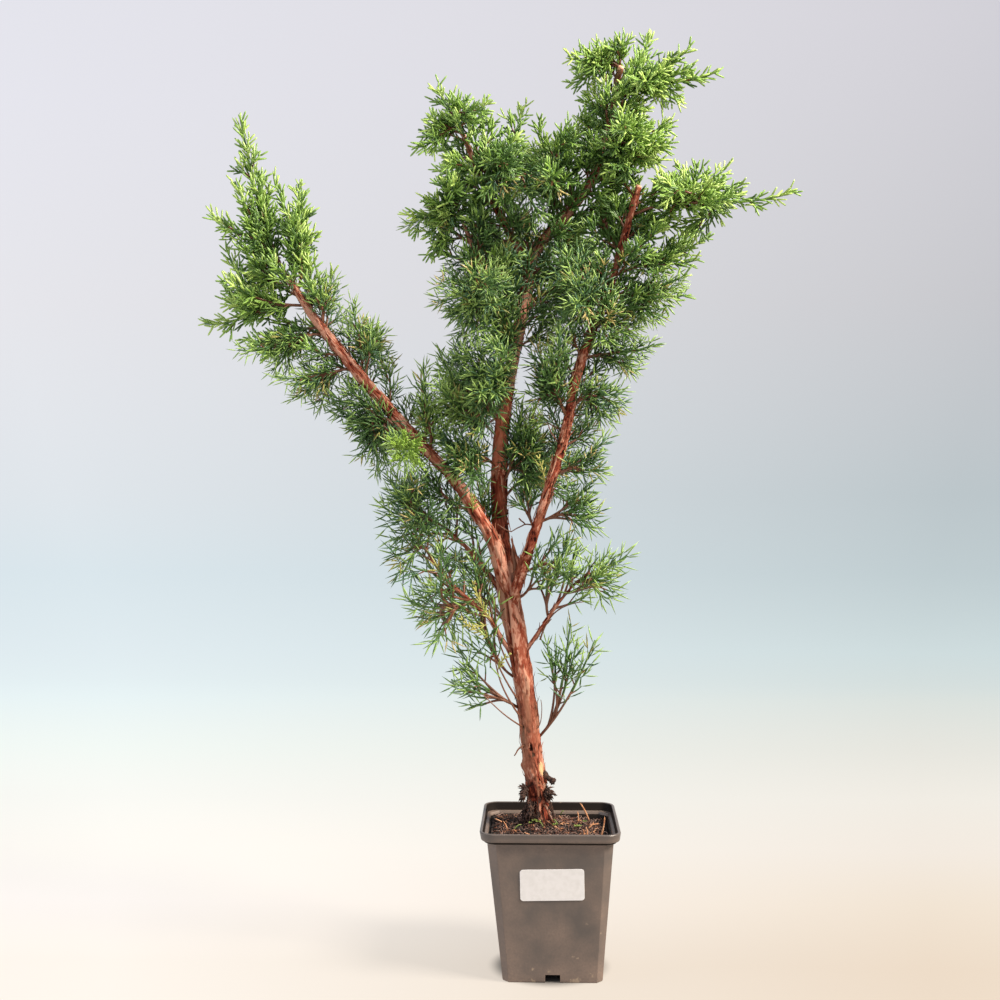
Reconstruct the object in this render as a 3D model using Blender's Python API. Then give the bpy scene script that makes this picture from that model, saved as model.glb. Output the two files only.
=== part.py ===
"""Kishu juniper bonsai in a square nursery pot: pot, soil, label, trunk, boughs and masses of foliage.

Metres, +Z up. The origin is the middle of the pot's flat underside, and +Y points away from the label side.
Design sizes are in millimetres and become metres as each mesh is made.
"""

import math

import bpy
import numpy as np
from mathutils import Vector
from mathutils.bvhtree import BVHTree

MM = 0.001
GAP = 0.3

# Pot: a square container 110 mm over its rim and 120 mm high, moulded with thin walls.
POT_HEIGHT = 120.0
RIM_HALF = 55.0
RIM_CORNER = 12.0
SKIRT_DROP = 6.8
BODY_TOP_HALF = 48.6
BODY_TOP_CORNER = 10.0
FOOT_HALF = 39.3
FOOT_CORNER = 6.5
SKIRT_LEAN = 1.0
LIP_WIDTH = 2.3
LIP_ROUND = 0.7
WALL = 1.5
LEDGE_Z = 111.5
LEDGE_SLOPE = 1.5
FLOOR_TOP = 8.2
DRAIN_WIDTH = 11.7
DRAIN_HEIGHT = 6.6
DRAIN_LENGTH = 26.0
DRAIN_BEYOND = 4.0
DRAIN_BELOW = 2.0
CORNER_STEPS = 4

# Soil: level with the ledge at the wall and mounded up to the foot of the trunk.
SOIL_EDGE_Z = 109.2
SOIL_FOOT_Z = 114.7
SOIL_FLAT_RADIUS = 16.0
SOIL_SIDES = 28
# Rings between the edge and the flat, as (share of the way in, height of the waves round it, in mm).
SOIL_RINGS = ((0.12, 0.5), (0.45, 0.0), (0.8, -0.4))
SOIL_WAVES = 3

# Label: a bare sticker on the front wall.
LABEL_SIZE = (50.0, 25.0)
LABEL_THICK = 0.4
LABEL_CORNER = 2.5
LABEL_CENTRE = (0.6, 79.0)
LABEL_ROLL = math.radians(1.2)

# Limbs: centre line and radius as (x, y, z, radius). Each bough is cut clear of the limbs it grows from.
TRUNK = (
    (-3, 6, SOIL_FOOT_Z + GAP, 12.5),
    (-8, 6, 134, 9.4),
    (-13, 6, 161, 8.4),
    (-19, 3, 215, 8.2),
    (-27, 3, 267, 8.9),
    (-35, 5, 313, 8.6),
    (-41, 13, 374, 6.7),
    (-40, 12, 427, 6.4),
    (-32, 10, 485, 5.5),
    (-22, 11, 534, 5.2),
    (-13, 13, 580, 4.9),
    (10, 5, 606, 3.8),
    (34, 0, 638, 3.1),
    (49, 2, 681, 2.6),
    (57, 5, 728, 2.2),
)
BOUGHS = {
    "left_bough": (
        (-32, 1, 297, 4.0),
        (-39, -6, 321, 6.0),
        (-46, -10, 346, 5.8),
        (-75, -14, 392, 4.8),
        (-112, -16, 432, 4.5),
        (-157, -20, 484, 4.2),
        (-194, -17, 531, 3.4),
        (-211, -16, 558, 2.3),
    ),
    "right_bough": (
        (-30, 3, 290, 3.5),
        (-25, -8, 313, 4.8),
        (-9, -16, 362, 4.2),
        (11, -14, 426, 3.8),
        (24, -9, 486, 3.7),
        (47, -7, 546, 3.1),
        (63, -8, 599, 2.8),
        (71, -11, 629, 2.6),
    ),
    "upper_left_bough": (
        (-15, 13, 571, 3.0),
        (-27, 5, 586, 3.2),
        (-39, -3, 606, 3.0),
        (-58, -10, 644, 2.6),
        (-69, -10, 671, 2.2),
    ),
    "left_mid_bough": (
        (-27, 10, 511, 2.6),
        (-39, 1, 533, 2.6),
        (-51, -5, 555, 2.4),
        (-73, -10, 610, 1.6),
    ),
    "lower_left_bough": (
        (-37, 6, 297, 2.6),
        (-47, 5, 313, 2.7),
        (-65, 3, 336, 2.3),
        (-82, 0, 353, 1.8),
    ),
    "low_left_bough": (
        (-31, 3, 252, 2.4),
        (-40, -6, 268, 2.4),
        (-51, -10, 285, 2.1),
        (-83, -13, 314, 1.8),
        (-100, -12, 339, 1.4),
    ),
    "low_right_bough": (
        (-22, 3, 252, 2.0),
        (-14, 0, 263, 2.0),
        (5, -6, 292, 1.7),
        (19, -6, 309, 1.3),
    ),
    "centre_right_bough": (
        (-20, 11, 540, 2.4),
        (-8, 19, 546, 2.3),
        (15, 40, 564, 1.7),
    ),
    "back_high_bough": (
        (-23, 11, 528, 2.4),
        (-30, 35, 543, 2.3),
        (-46, 83, 582, 1.6),
    ),
    "back_low_bough": (
        (-38, 12, 437, 2.4),
        (-48, 33, 451, 2.3),
        (-70, 74, 479, 1.6),
    ),
    "torn_stub": (
        (-27, 0, 309, 3.0),
        (-25, -6, 322, 2.3),
        (-28, -9, 336, 1.5),
        (-31, -10, 347, 0.6),
    ),
}
CUT_CLEAR_OF = {
    "right_bough": ("trunk", "left_bough"),
    "lower_left_bough": ("trunk", "left_bough"),
    "torn_stub": ("trunk", "left_bough", "right_bough"),
}
# A cutter is grown past the gap, because a limb's section is a polygon.
CLEARANCE = 0.33
FIRST_ACROSS = (0.31, 0.95, 0.05)
LIMB_RING_STEP = 19.0
TRUNK_SIDES = 9
BOUGH_SIDES = 8
FLUTE_DEPTH = 0.07

# Masses of foliage: the limb and the share of its length where the stem leaves, then each leader's tip and
# half-width as (x, y, z, half-width).
MASSES = {
    "left_spire": ("left_bough", 1.0, ((-249, -19, 686, 15), (-268, -32, 604, 13), (-231, -2, 628, 12))),
    "left_second_spire": ("left_bough", 0.96, ((-207, 10, 639, 15), (-205, -30, 604, 13))),
    "left_arm": (
        "left_bough",
        0.92,
        ((-278, -18, 520, 12), (-256, -41, 552, 15), (-262, 23, 540, 15), (-262, -10, 581, 14)),
    ),
    "left_under": ("left_bough", 0.83, ((-250, 7, 511, 15), (-245, -41, 496, 12), (-224, -14, 483, 11))),
    "left_under_low": (
        "left_bough",
        0.72,
        ((-207, -18, 460, 14), (-216, -42, 475, 11), (-193, 23, 453, 12), (-201, -4, 487, 12)),
    ),
    "left_low": (
        "left_bough",
        0.56,
        ((-155, -12, 413, 15), (-157, -24, 443, 12), (-144, 30, 398, 13), (-176, 4, 456, 12)),
    ),
    "left_front": ("left_bough", 0.48, ((-113, -69, 412, 15),)),
    "left_tuft_high": ("left_bough", 0.85, ((-175, -13, 561, 11), (-191, -45, 551, 10))),
    "left_tufts": ("left_bough", 0.7, ((-142, -6, 517, 13), (-157, -28, 534, 11), (-133, 22, 501, 11))),
    "upright_shoot": ("left_bough", 0.46, ((-101, -19, 486, 10),)),
    "lower_left": (
        "lower_left_bough",
        1.0,
        (
            (-134, -14, 372, 16),
            (-125, 47, 385, 14),
            (-131, 8, 345, 15),
            (-93, -53, 370, 14),
            (-132, 12, 397, 12),
            (-110, -26, 400, 14),
        ),
    ),
    "low_left_outer": (
        "low_left_bough",
        1.0,
        ((-123, -30, 334, 14), (-122, 4, 317, 13), (-99, -43, 360, 12)),
    ),
    "low_left_inner": (
        "low_left_bough",
        0.5,
        (
            (-109, -41, 297, 15),
            (-93, -31, 265, 15),
            (-104, 23, 298, 13),
            (-84, -64, 332, 13),
            (-81, 20, 274, 13),
        ),
    ),
    "lowest_left": ("trunk", 0.15, ((-78, -30, 236, 11), (-75, -12, 260, 11), (-65, 4, 210, 8))),
    "inner_left": ("trunk", 0.5, ((-89, -41, 469, 16), (-99, 17, 454, 15), (-90, -11, 500, 8))),
    "inner_left_low": ("trunk", 0.46, ((-98, -15, 433, 15), (-82, -28, 405, 17), (-62, -60, 397, 12))),
    "centre_left": (
        "trunk",
        0.56,
        ((-68, -38, 494, 16), (-55, -64, 461, 15), (-34, -73, 491, 12), (-57, -38, 430, 13)),
    ),
    "left_block": (
        "left_mid_bough",
        0.4,
        ((-89, -26, 537, 19), (-72, -8, 512, 16), (-44, -83, 549, 17), (-48, -42, 508, 13)),
    ),
    "left_fan": ("left_mid_bough", 1.0, ((-111, -29, 603, 15), (-96, -11, 575, 12), (-74, -50, 624, 13))),
    "crown_left": (
        "upper_left_bough",
        1.0,
        ((-91, -9, 712, 12), (-104, -35, 656, 14), (-66, 18, 700, 13), (-52, -43, 684, 13)),
    ),
    "crown_left_inner": (
        "upper_left_bough",
        0.54,
        ((-21, 7, 701, 13), (-35, -63, 645, 15), (-92, 39, 657, 14), (-6, -44, 600, 15), (-49, -52, 617, 14)),
    ),
    "crown_centre": (
        "trunk",
        0.79,
        (
            (-9, 2, 686, 15),
            (-25, 67, 681, 15),
            (1, -70, 628, 16),
            (28, 39, 703, 13),
            (13, -34, 672, 13),
            (-20, 31, 641, 14),
        ),
    ),
    "crown_top": ("trunk", 1.0, ((38, -3, 746, 11), (14, -26, 730, 11), (17, 22, 724, 10))),
    "crown_top_right": (
        "trunk",
        0.96,
        ((81, 12, 757, 11), (135, -4, 724, 10), (112, -21, 738, 9), (77, -44, 704, 12), (110, 31, 711, 11)),
    ),
    "crown_right": (
        "trunk",
        0.9,
        ((99, 17, 688, 12), (95, -25, 658, 13), (54, -65, 666, 13), (48, -38, 636, 14), (22, 15, 658, 13)),
    ),
    "right_tip": (
        "right_bough",
        0.94,
        (
            (196, -21, 624, 9),
            (142, -8, 645, 13),
            (143, -46, 614, 11),
            (108, 25, 655, 13),
            (81, -44, 628, 13),
            (112, -2, 600, 12),
        ),
    ),
    "right_mid": (
        "right_bough",
        0.8,
        ((132, 12, 596, 11), (128, 42, 612, 12), (121, -5, 573, 9), (84, -26, 556, 12)),
    ),
    "right_low": (
        "right_bough",
        0.75,
        ((111, 3, 545, 14), (108, -31, 556, 12), (86, -36, 520, 12), (70, 32, 532, 14)),
    ),
    "right_inner": ("right_bough", 0.71, ((9, -58, 567, 18), (18, -74, 527, 15))),
    "right_lower": ("right_bough", 0.6, ((83, -22, 502, 15), (75, 22, 486, 12))),
    "right_lowest": ("right_bough", 0.5, ((55, -24, 464, 15), (49, -3, 444, 11))),
    "between": ("right_bough", 0.46, ((-11, -22, 504, 16), (7, -58, 511, 15), (-17, -32, 463, 13))),
    "centre_right_low": ("trunk", 0.45, ((-1, -2, 432, 15), (-8, -8, 394, 14), (-12, -14, 452, 12))),
    "right_spur_high": ("right_bough", 0.33, ((46, -17, 428, 11), (42, -33, 402, 11))),
    "right_spur_low": ("right_bough", 0.22, ((32, -27, 392, 11), (40, -11, 368, 11), (30, -35, 358, 11))),
    "lower_right": (
        "low_right_bough",
        1.0,
        ((62, -12, 334, 13), (48, -5, 298, 11), (31, -41, 331, 13), (33, 16, 304, 10)),
    ),
    "lower_right_inner": ("low_right_bough", 0.55, ((8, -34, 327, 13), (-12, 4, 319, 11), (15, 8, 349, 12))),
    "lowest_right": ("trunk", 0.11, ((36, -17, 266, 11), (17, 7, 277, 11), (-2, -2, 262, 9))),
    "centre_right": (
        "centre_right_bough",
        1.0,
        ((11, 56, 623, 19), (34, 79, 602, 18), (36, 75, 552, 16), (-1, 52, 510, 15)),
    ),
    "back_high": ("back_high_bough", 1.0, ((-44, 135, 569, 19), (-63, 116, 617, 19), (-24, 105, 620, 18))),
    "back_low": ("back_low_bough", 1.0, ((-88, 110, 502, 18), (-62, 120, 462, 16))),
    "back_base": ("trunk", 0.25, ((-85, 86, 297, 15), (-64, 82, 329, 14))),
    "back_right": ("trunk", 0.42, ((38, 93, 466, 15), (36, 85, 418, 15), (29, 73, 371, 13))),
    "crown_back": ("trunk", 0.91, ((48, 73, 722, 16), (81, 74, 680, 15))),
}
STEM_RADIUS = 1.7
LEADER_RADIUS = 1.5
TIP_RADIUS = 0.9
STEM_SEAT = 0.1
SEAT_RING = 0.06
STEM_FOLLOWS_LIMB = 0.9
OUTSIDE_ANY_LIMB = 40.0
LINE_STEP = 4.0
LINE_STEPS = 40
FIRST_FORK = 0.14
FORK_STEP = 0.09
HANDLE_SHARE = 0.33
TIP_LIFT = 0.35

# Each leader is a slim three-sided core that tapers to a point. Past its bare foot the needles stand out of it
# in whorls of three, one from each face, that turn from whorl to whorl.
BARE_SHARE = 0.26
WHORL_STEP = 10.5
WHORL_TWIST = math.radians(24)
NEEDLE_ANGLE = math.radians(44)
NEEDLE_REACH = 1.2
NEEDLE_LENGTHS = (1.0, 0.78, 0.9)
SHORTEST_NEEDLE = 7.0
SHRINKS = (1.0, 0.75, 0.5)
END_SHARE = 0.14
NARROWEST = 0.45
WIDEST_PHASES = (0.12, 0.98)

# A wide leader sends out one side leader, turned further round from one to the next.
SIDE_LEADER_WIDTH = 15
SIDE_LEADER_SHARE = 0.42
SIDE_LEADER_NARROWER = 0.8
SIDE_LEADER_REACH = 0.5
SIDE_LEADER_MOST_WIDTHS = 2.4
SIDE_LEADER_TURNS = (1.7, 2.2)
SIDE_LEADER_ACROSS = (0.2, 0.3, 1.0)

POT_COLOUR = (0.055, 0.048, 0.045)
SOIL_COLOUR = (0.030, 0.018, 0.014)
LABEL_COLOUR = (0.85, 0.82, 0.80)
BARK_COLOUR = (0.150, 0.055, 0.032)
FOLIAGE_COLOUR = (0.050, 0.130, 0.040)


def clear_scene():
    for obj in list(bpy.data.objects):
        bpy.data.objects.remove(obj)


def finish(obj, colour, roughness):
    """Gives the object its own material."""
    material = bpy.data.materials.new(obj.name + "_finish")
    material.use_nodes = True
    shader = material.node_tree.nodes["Principled BSDF"]
    shader.inputs["Base Color"].default_value = (*colour, 1.0)
    shader.inputs["Roughness"].default_value = roughness
    obj.data.materials.append(material)


def new_object(name, points, faces, smooth=False):
    """An object from points in millimetres, with its faces turned outwards."""
    points = np.asarray(points, float)
    mesh = bpy.data.meshes.new(name)
    mesh.from_pydata((points * MM).tolist(), [], faces)
    if smooth:
        mesh.shade_smooth()
        mesh.set_sharp_from_angle(angle=math.radians(40))
    obj = bpy.data.objects.new(name, mesh)
    bpy.context.scene.collection.objects.link(obj)
    return obj


def volume_of(points, faces):
    """Six times the signed volume inside the faces."""
    total = 0.0
    for face in faces:
        first = points[face[0]]
        for second, third in zip(face[1:-1], face[2:]):
            total += np.dot(first, np.cross(points[second], points[third]))
    return total


def outward(points, faces):
    """The same shape with every face turned outwards."""
    points = np.asarray(points, float)
    if volume_of(points, faces) < 0:
        faces = [tuple(reversed(face)) for face in faces]
    return points, faces


def lofted(rings):
    """A closed shape through rings of equally many points, with a flat face at each end."""
    count = len(rings[0])
    faces = [
        (i * count + j, i * count + (j + 1) % count, (i + 1) * count + (j + 1) % count, (i + 1) * count + j)
        for i in range(len(rings) - 1)
        for j in range(count)
    ]
    faces.append(tuple(reversed(range(count))))
    faces.append(tuple((len(rings) - 1) * count + j for j in range(count)))
    return outward(np.concatenate(rings), faces)


def rounded_square(half, corner, z, sides=CORNER_STEPS):
    """One ring of a square with rounded corners."""
    points = []
    for quarter in range(4):
        middle = math.radians(45 + 90 * quarter)
        centre = (half - corner) * math.sqrt(2)
        for step in range(sides):
            angle = math.radians(90 * quarter + 90 * step / (sides - 1))
            points.append(
                (
                    centre * math.cos(middle) + corner * math.cos(angle),
                    centre * math.sin(middle) + corner * math.sin(angle),
                    z,
                )
            )
    return np.array(points)


def body_half(z):
    """Half the width of the pot's body at a height."""
    share = z / (POT_HEIGHT - SKIRT_DROP)
    return FOOT_HALF + (BODY_TOP_HALF - FOOT_HALF) * share


def body_corner(z):
    share = z / (POT_HEIGHT - SKIRT_DROP)
    return FOOT_CORNER + (BODY_TOP_CORNER - FOOT_CORNER) * share


def cut_away(obj, cutter):
    """Subtracts the cutter and keeps it as a hidden guide."""
    cutter.hide_render = True
    cutter.display_type = "WIRE"
    modifier = obj.modifiers.new("cut_" + cutter.name, "BOOLEAN")
    modifier.operation = "DIFFERENCE"
    modifier.object = cutter


def make_pot():
    """Outer wall and skirt, over the lip, down past the stacking ledge to the floor, with four drain grooves."""
    skirt_z = POT_HEIGHT - SKIRT_DROP
    outer = (
        (FOOT_HALF, FOOT_CORNER, 0.0),
        (BODY_TOP_HALF, BODY_TOP_CORNER, skirt_z),
        (RIM_HALF - SKIRT_LEAN, RIM_CORNER - SKIRT_LEAN, skirt_z),
        (RIM_HALF, RIM_CORNER, POT_HEIGHT - LIP_ROUND),
        (RIM_HALF - LIP_ROUND, RIM_CORNER - LIP_ROUND, POT_HEIGHT),
    )
    inner = (
        (RIM_HALF - LIP_WIDTH, RIM_CORNER - LIP_WIDTH, POT_HEIGHT),
        (RIM_HALF - LIP_WIDTH - SKIRT_LEAN, RIM_CORNER - LIP_WIDTH - SKIRT_LEAN, LEDGE_Z),
        (body_half(LEDGE_Z) - WALL, BODY_TOP_CORNER - WALL, LEDGE_Z - LEDGE_SLOPE),
        (body_half(FLOOR_TOP) - WALL, FOOT_CORNER - WALL, FLOOR_TOP),
    )
    rings = [rounded_square(*row) for row in outer + inner]
    pot = new_object("pot", *lofted(rings))
    finish(pot, POT_COLOUR, 0.55)
    middle = FOOT_HALF + DRAIN_BEYOND - DRAIN_LENGTH / 2
    for number in range(4):
        turn = math.radians(90 * number)
        across = np.array([-math.sin(turn), math.cos(turn), 0.0])
        along = np.array([math.cos(turn), math.sin(turn), 0.0])
        corners = [
            along * (middle + a * DRAIN_LENGTH / 2) + across * b * DRAIN_WIDTH / 2
            for a, b in ((-1, -1), (1, -1), (1, 1), (-1, 1))
        ]
        rings = [np.array(corners) + (0, 0, z) for z in (-DRAIN_BELOW, DRAIN_HEIGHT)]
        cut_away(pot, new_object("drain_groove_%d" % number, *lofted(rings)))


def make_soil():
    """Peat filling the pot, with a top that rises to a flat round the trunk's foot.

    Its corners are a little rounder than the pot's, so that they keep the gap to the flats there.
    """
    foot = np.array(TRUNK[0][:2], float)
    angles = np.linspace(0, 2 * math.pi, SOIL_SIDES, endpoint=False)

    def wall_ring(z):
        half = body_half(z) - WALL - GAP
        corner = body_corner(z) - WALL / 2
        ring = []
        for angle in angles:
            direction = np.array([math.cos(angle), math.sin(angle)])
            reach = half / max(abs(direction))
            round_reach = (half - corner) * abs(direction).sum()
            round_reach += math.sqrt(max(0.0, round_reach**2 - 2 * (half - corner) ** 2 + corner**2))
            beyond = min(abs(direction)) * reach > half - corner
            ring.append((*direction * (round_reach if beyond else reach), z))
        return np.array(ring)

    edge = wall_ring(SOIL_EDGE_Z)
    flat = np.empty_like(edge)
    flat[:, :2] = foot + SOIL_FLAT_RADIUS * np.stack([np.cos(angles), np.sin(angles)], axis=1)
    flat[:, 2] = SOIL_FOOT_Z
    slope = []
    for share, wave in SOIL_RINGS:
        ring = edge + (flat - edge) * share
        ring[:, 2] += wave * np.sin(SOIL_WAVES * angles)
        slope.append(ring)
    rings = [wall_ring(FLOOR_TOP + GAP), edge] + slope + [flat]
    soil = new_object("soil", *lofted(rings))
    finish(soil, SOIL_COLOUR, 0.95)


def make_label():
    """A thin plate with rounded corners, laid on the front wall and turned a little."""
    lean = math.atan((BODY_TOP_HALF - FOOT_HALF) / (POT_HEIGHT - SKIRT_DROP))
    width, height = LABEL_SIZE
    outline = []
    for quarter, (side, up) in enumerate(((1, 1), (-1, 1), (-1, -1), (1, -1))):
        for step in range(CORNER_STEPS):
            angle = math.radians(90 * quarter + 90 * step / (CORNER_STEPS - 1))
            outline.append(
                (
                    side * (width / 2 - LABEL_CORNER) + LABEL_CORNER * math.cos(angle),
                    up * (height / 2 - LABEL_CORNER) + LABEL_CORNER * math.sin(angle),
                )
            )
    turn = np.array(
        [[math.cos(LABEL_ROLL), -math.sin(LABEL_ROLL)], [math.sin(LABEL_ROLL), math.cos(LABEL_ROLL)]]
    )
    flat = np.array(outline) @ turn.T
    outwards = np.array([0.0, -math.cos(lean), -math.sin(lean)])
    up = np.array([0.0, -math.sin(lean), math.cos(lean)])
    centre = np.array([LABEL_CENTRE[0], -body_half(LABEL_CENTRE[1]), LABEL_CENTRE[1]])
    rings = [
        centre + outwards * lift + flat[:, :1] * np.array([1.0, 0.0, 0.0]) + flat[:, 1:] * up
        for lift in (GAP, GAP + LABEL_THICK)
    ]
    label = new_object("label", *lofted(rings))
    finish(label, LABEL_COLOUR, 0.5)


def unit(vector):
    return vector / np.linalg.norm(vector)


def smooth_line(points, step):
    """Rows on a Catmull-Rom curve through the rows given, about one step apart."""
    points = np.asarray(points, float)
    padded = np.concatenate([[2 * points[0] - points[1]], points, [2 * points[-1] - points[-2]]])
    rows = []
    for before, start, end, after in zip(padded, padded[1:], padded[2:], padded[3:]):
        count = max(1, round(np.linalg.norm(end[:3] - start[:3]) / step))
        for share in np.arange(count) / count:
            rows.append(
                0.5
                * (
                    2 * start
                    + (end - before) * share
                    + (2 * before - 5 * start + 4 * end - after) * share**2
                    + (3 * start - before - 3 * end + after) * share**3
                )
            )
    rows.append(points[-1])
    return np.array(rows)


def frames_along(path):
    """Tangent and two cross directions at each point, turned as little as possible from one to the next."""
    tangents = np.gradient(path, axis=0)
    tangents /= np.linalg.norm(tangents, axis=1)[:, None]
    across = unit(np.cross(tangents[0], FIRST_ACROSS))
    rows = []
    for tangent in tangents:
        across = unit(across - tangent * np.dot(across, tangent))
        rows.append((tangent, across, np.cross(tangent, across)))
    return np.array(rows)


def limb_shape(points, sides, grow=0.0):
    """A tapering limb whose section is a little fluted. The trunk's first ring is level, as it stands on soil."""
    line = smooth_line(points, LIMB_RING_STEP)
    path, radii = line[:, :3], line[:, 3] + grow
    frames = frames_along(path)
    if points is TRUNK:
        up = np.array([0.0, 0.0, 1.0])
        across = unit(np.cross(up, FIRST_ACROSS))
        frames[0] = (up, across, np.cross(up, across))
    angles = np.linspace(0, 2 * math.pi, sides, endpoint=False)
    rings = []
    for number, (centre, radius, frame) in enumerate(zip(path, radii, frames)):
        flute = 1 + FLUTE_DEPTH * np.sin(2 * angles + 0.35 * number) * np.cos(angles + 0.2 * number)
        ring = centre + (radius * flute)[:, None] * (
            np.cos(angles)[:, None] * frame[1] + np.sin(angles)[:, None] * frame[2]
        )
        rings.append(ring)
    return lofted(rings)


def make_limbs():
    """The trunk and the boughs, each cut 0.3 mm clear of the limbs it leaves. Returns their uncut shapes."""
    limbs = {"trunk": (TRUNK, TRUNK_SIDES)}
    limbs.update({name: (points, BOUGH_SIDES) for name, points in BOUGHS.items()})
    shapes, objects, cutters = {}, {}, {}
    for name, (points, sides) in limbs.items():
        shapes[name] = limb_shape(points, sides)
        objects[name] = new_object(name, *shapes[name], smooth=True)
        finish(objects[name], BARK_COLOUR, 0.85)
    for name in BOUGHS:
        for other in CUT_CLEAR_OF.get(name, ("trunk",)):
            if other not in cutters:
                cutters[other] = new_object(other + "_clearance", *limb_shape(*limbs[other], grow=CLEARANCE))
            cut_away(objects[name], cutters[other])
    return shapes


def tree_of(shapes):
    """One search tree over several shapes, for touch tests."""
    points, faces, offset = [], [], 0
    for shape_points, shape_faces in shapes:
        points += [Vector(point) for point in shape_points]
        faces += [tuple(index + offset for index in face) for face in shape_faces]
        offset += len(shape_points)
    return BVHTree.FromPolygons(points, faces)


def touches(shape, tree):
    return bool(tree_of([shape]).overlap(tree))


def bezier(points, shares):
    start, first, second, end = points
    rest = 1 - shares
    return rest**3 * start + 3 * rest**2 * shares * first + 3 * rest * shares**2 * second + shares**3 * end


def leader_line(start, direction, tip):
    """A twig that leaves along a direction and turns up a little towards its tip."""
    shares = np.linspace(0, 1, LINE_STEPS + 1)[:, None]
    reach = np.linalg.norm(tip - start)
    arrive = unit(unit(tip - start) + np.array([0.0, 0.0, TIP_LIFT]))
    handle = reach * HANDLE_SHARE
    return bezier((start, start + direction * handle, tip - arrive * handle, tip), shares)


def stem_foot(limb, share, tips, limb_tree):
    """Where a mass's stem leaves its limb, the way out of the bark there, and the stem's first direction."""
    points = TRUNK if limb == "trunk" else BOUGHS[limb]
    line = smooth_line(points, LINE_STEP)[:, :3]
    lengths = np.r_[0, np.cumsum(np.linalg.norm(np.diff(line, axis=0), axis=1))]
    tangents = np.gradient(line, axis=0)
    if share == 1.0:
        direction = unit(line[-1] - line[-2])
        return line[-1] + direction * GAP, direction, direction
    place = share * lengths[-1]
    centre = np.array([np.interp(place, lengths, line[:, axis]) for axis in range(3)])
    tangent = unit(np.array([np.interp(place, lengths, tangents[:, axis]) for axis in range(3)]))
    aim = np.mean(tips, axis=0) - centre
    outwards = unit(aim - tangent * np.dot(aim, tangent))
    bark = limb_tree.ray_cast(Vector(centre + outwards * OUTSIDE_ANY_LIMB), Vector(-outwards))[0]
    direction = unit(outwards + STEM_FOLLOWS_LIMB * tangent)
    return np.array(bark) + outwards * (GAP + STEM_SEAT), outwards, direction


def leaders_of(limb, share, tips, limb_tree):
    """The stem that runs on to the first tip, and a leader that forks from it to each other tip."""
    ends = np.array([tip[:3] for tip in tips], float)
    foot, outwards, direction = stem_foot(limb, share, ends, limb_tree)
    stem = leader_line(foot, direction, ends[0])
    lines = [stem]
    for number, end in enumerate(ends[1:]):
        place = round((FIRST_FORK + FORK_STEP * number) * LINE_STEPS)
        onward = unit(stem[place + 1] - stem[place])
        lines.append(leader_line(stem[place], unit(onward + unit(end - stem[place])), end))
    return lines, outwards


def at_share(line, share):
    """Point and tangent at a share of a dense line's length."""
    place = share * (len(line) - 1)
    index = min(int(place), len(line) - 2)
    step = line[index + 1] - line[index]
    return line[index] + step * (place - index), unit(step)


def core_rings(line, outwards):
    """Rings of a leader's core and the number of the first ring that needles stand on.

    The first ring of a stem lies square to its way out of the bark.
    """
    reach = np.linalg.norm(np.diff(line, axis=0), axis=1).sum()
    whorls = max(2, round(reach * (1 - BARE_SHARE - END_SHARE) / WHORL_STEP))
    foot = (0.0,) if outwards is None else (0.0, SEAT_RING)
    shares = np.r_[foot, np.linspace(BARE_SHARE, 1 - END_SHARE, whorls + 1)]
    path = np.array([at_share(line, share)[0] for share in shares])
    frames = frames_along(path)
    if outwards is not None:
        across = unit(frames[0][1] - outwards * np.dot(frames[0][1], outwards))
        frames[0] = (outwards, across, np.cross(outwards, across))
    radii = np.linspace(LEADER_RADIUS if outwards is None else STEM_RADIUS, TIP_RADIUS, len(path))
    rings = []
    for number, (centre, frame, radius) in enumerate(zip(path, frames, radii)):
        angles = np.arange(3) * 2 * math.pi / 3 + WHORL_TWIST * max(0, number - len(foot))
        circle = np.cos(angles)[:, None] * frame[1] + np.sin(angles)[:, None] * frame[2]
        rings.append(centre + radius * circle)
    return np.array(rings), frames[:, 0], len(foot)


def envelope(share):
    """The share of a leader's half-width that it has along its length: widest in the middle, narrow at its tip."""
    phase = WIDEST_PHASES[0] + (WIDEST_PHASES[1] - WIDEST_PHASES[0]) * share
    return NARROWEST + (1 - NARROWEST) * math.sin(math.pi * phase)


def needle_sites(rings, tangents, first, half_width):
    """The ring, face, root, direction and length of each needle of a leader."""
    last = len(rings) - 1
    for ring in range(first, last):
        share = (ring - first + 0.5) / (last - first)
        middle = (rings[ring].mean(axis=0) + rings[ring + 1].mean(axis=0)) / 2
        tangent = unit(tangents[ring] + tangents[ring + 1])
        for face in range(3):
            after = (face + 1) % 3
            root = (rings[ring][face] + rings[ring][after] + rings[ring + 1][face] + rings[ring + 1][after]) / 4
            side = root - middle
            side = unit(side - tangent * np.dot(side, tangent))
            direction = math.cos(NEEDLE_ANGLE) * tangent + math.sin(NEEDLE_ANGLE) * side
            length = half_width * envelope(share) * NEEDLE_REACH / math.sin(NEEDLE_ANGLE)
            length *= NEEDLE_LENGTHS[(ring + face) % 3]
            yield ring, face, root, direction, max(length, SHORTEST_NEEDLE)


def needle_wedge(rings, ring, face, tip, grow):
    """The closed wedge between one face of the core and a needle's tip, grown a little, for touch tests."""
    after = (face + 1) % 3
    corners = np.array([rings[ring][face], rings[ring][after], rings[ring + 1][after], rings[ring + 1][face]])
    middle = corners.mean(axis=0)
    corners = [corner + unit(corner - middle) * grow for corner in corners]
    end = tip + unit(tip - middle) * grow
    return np.array([*corners, end]), [(3, 2, 1, 0), (0, 1, 4), (1, 2, 4), (2, 3, 4), (3, 0, 4)]


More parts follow.
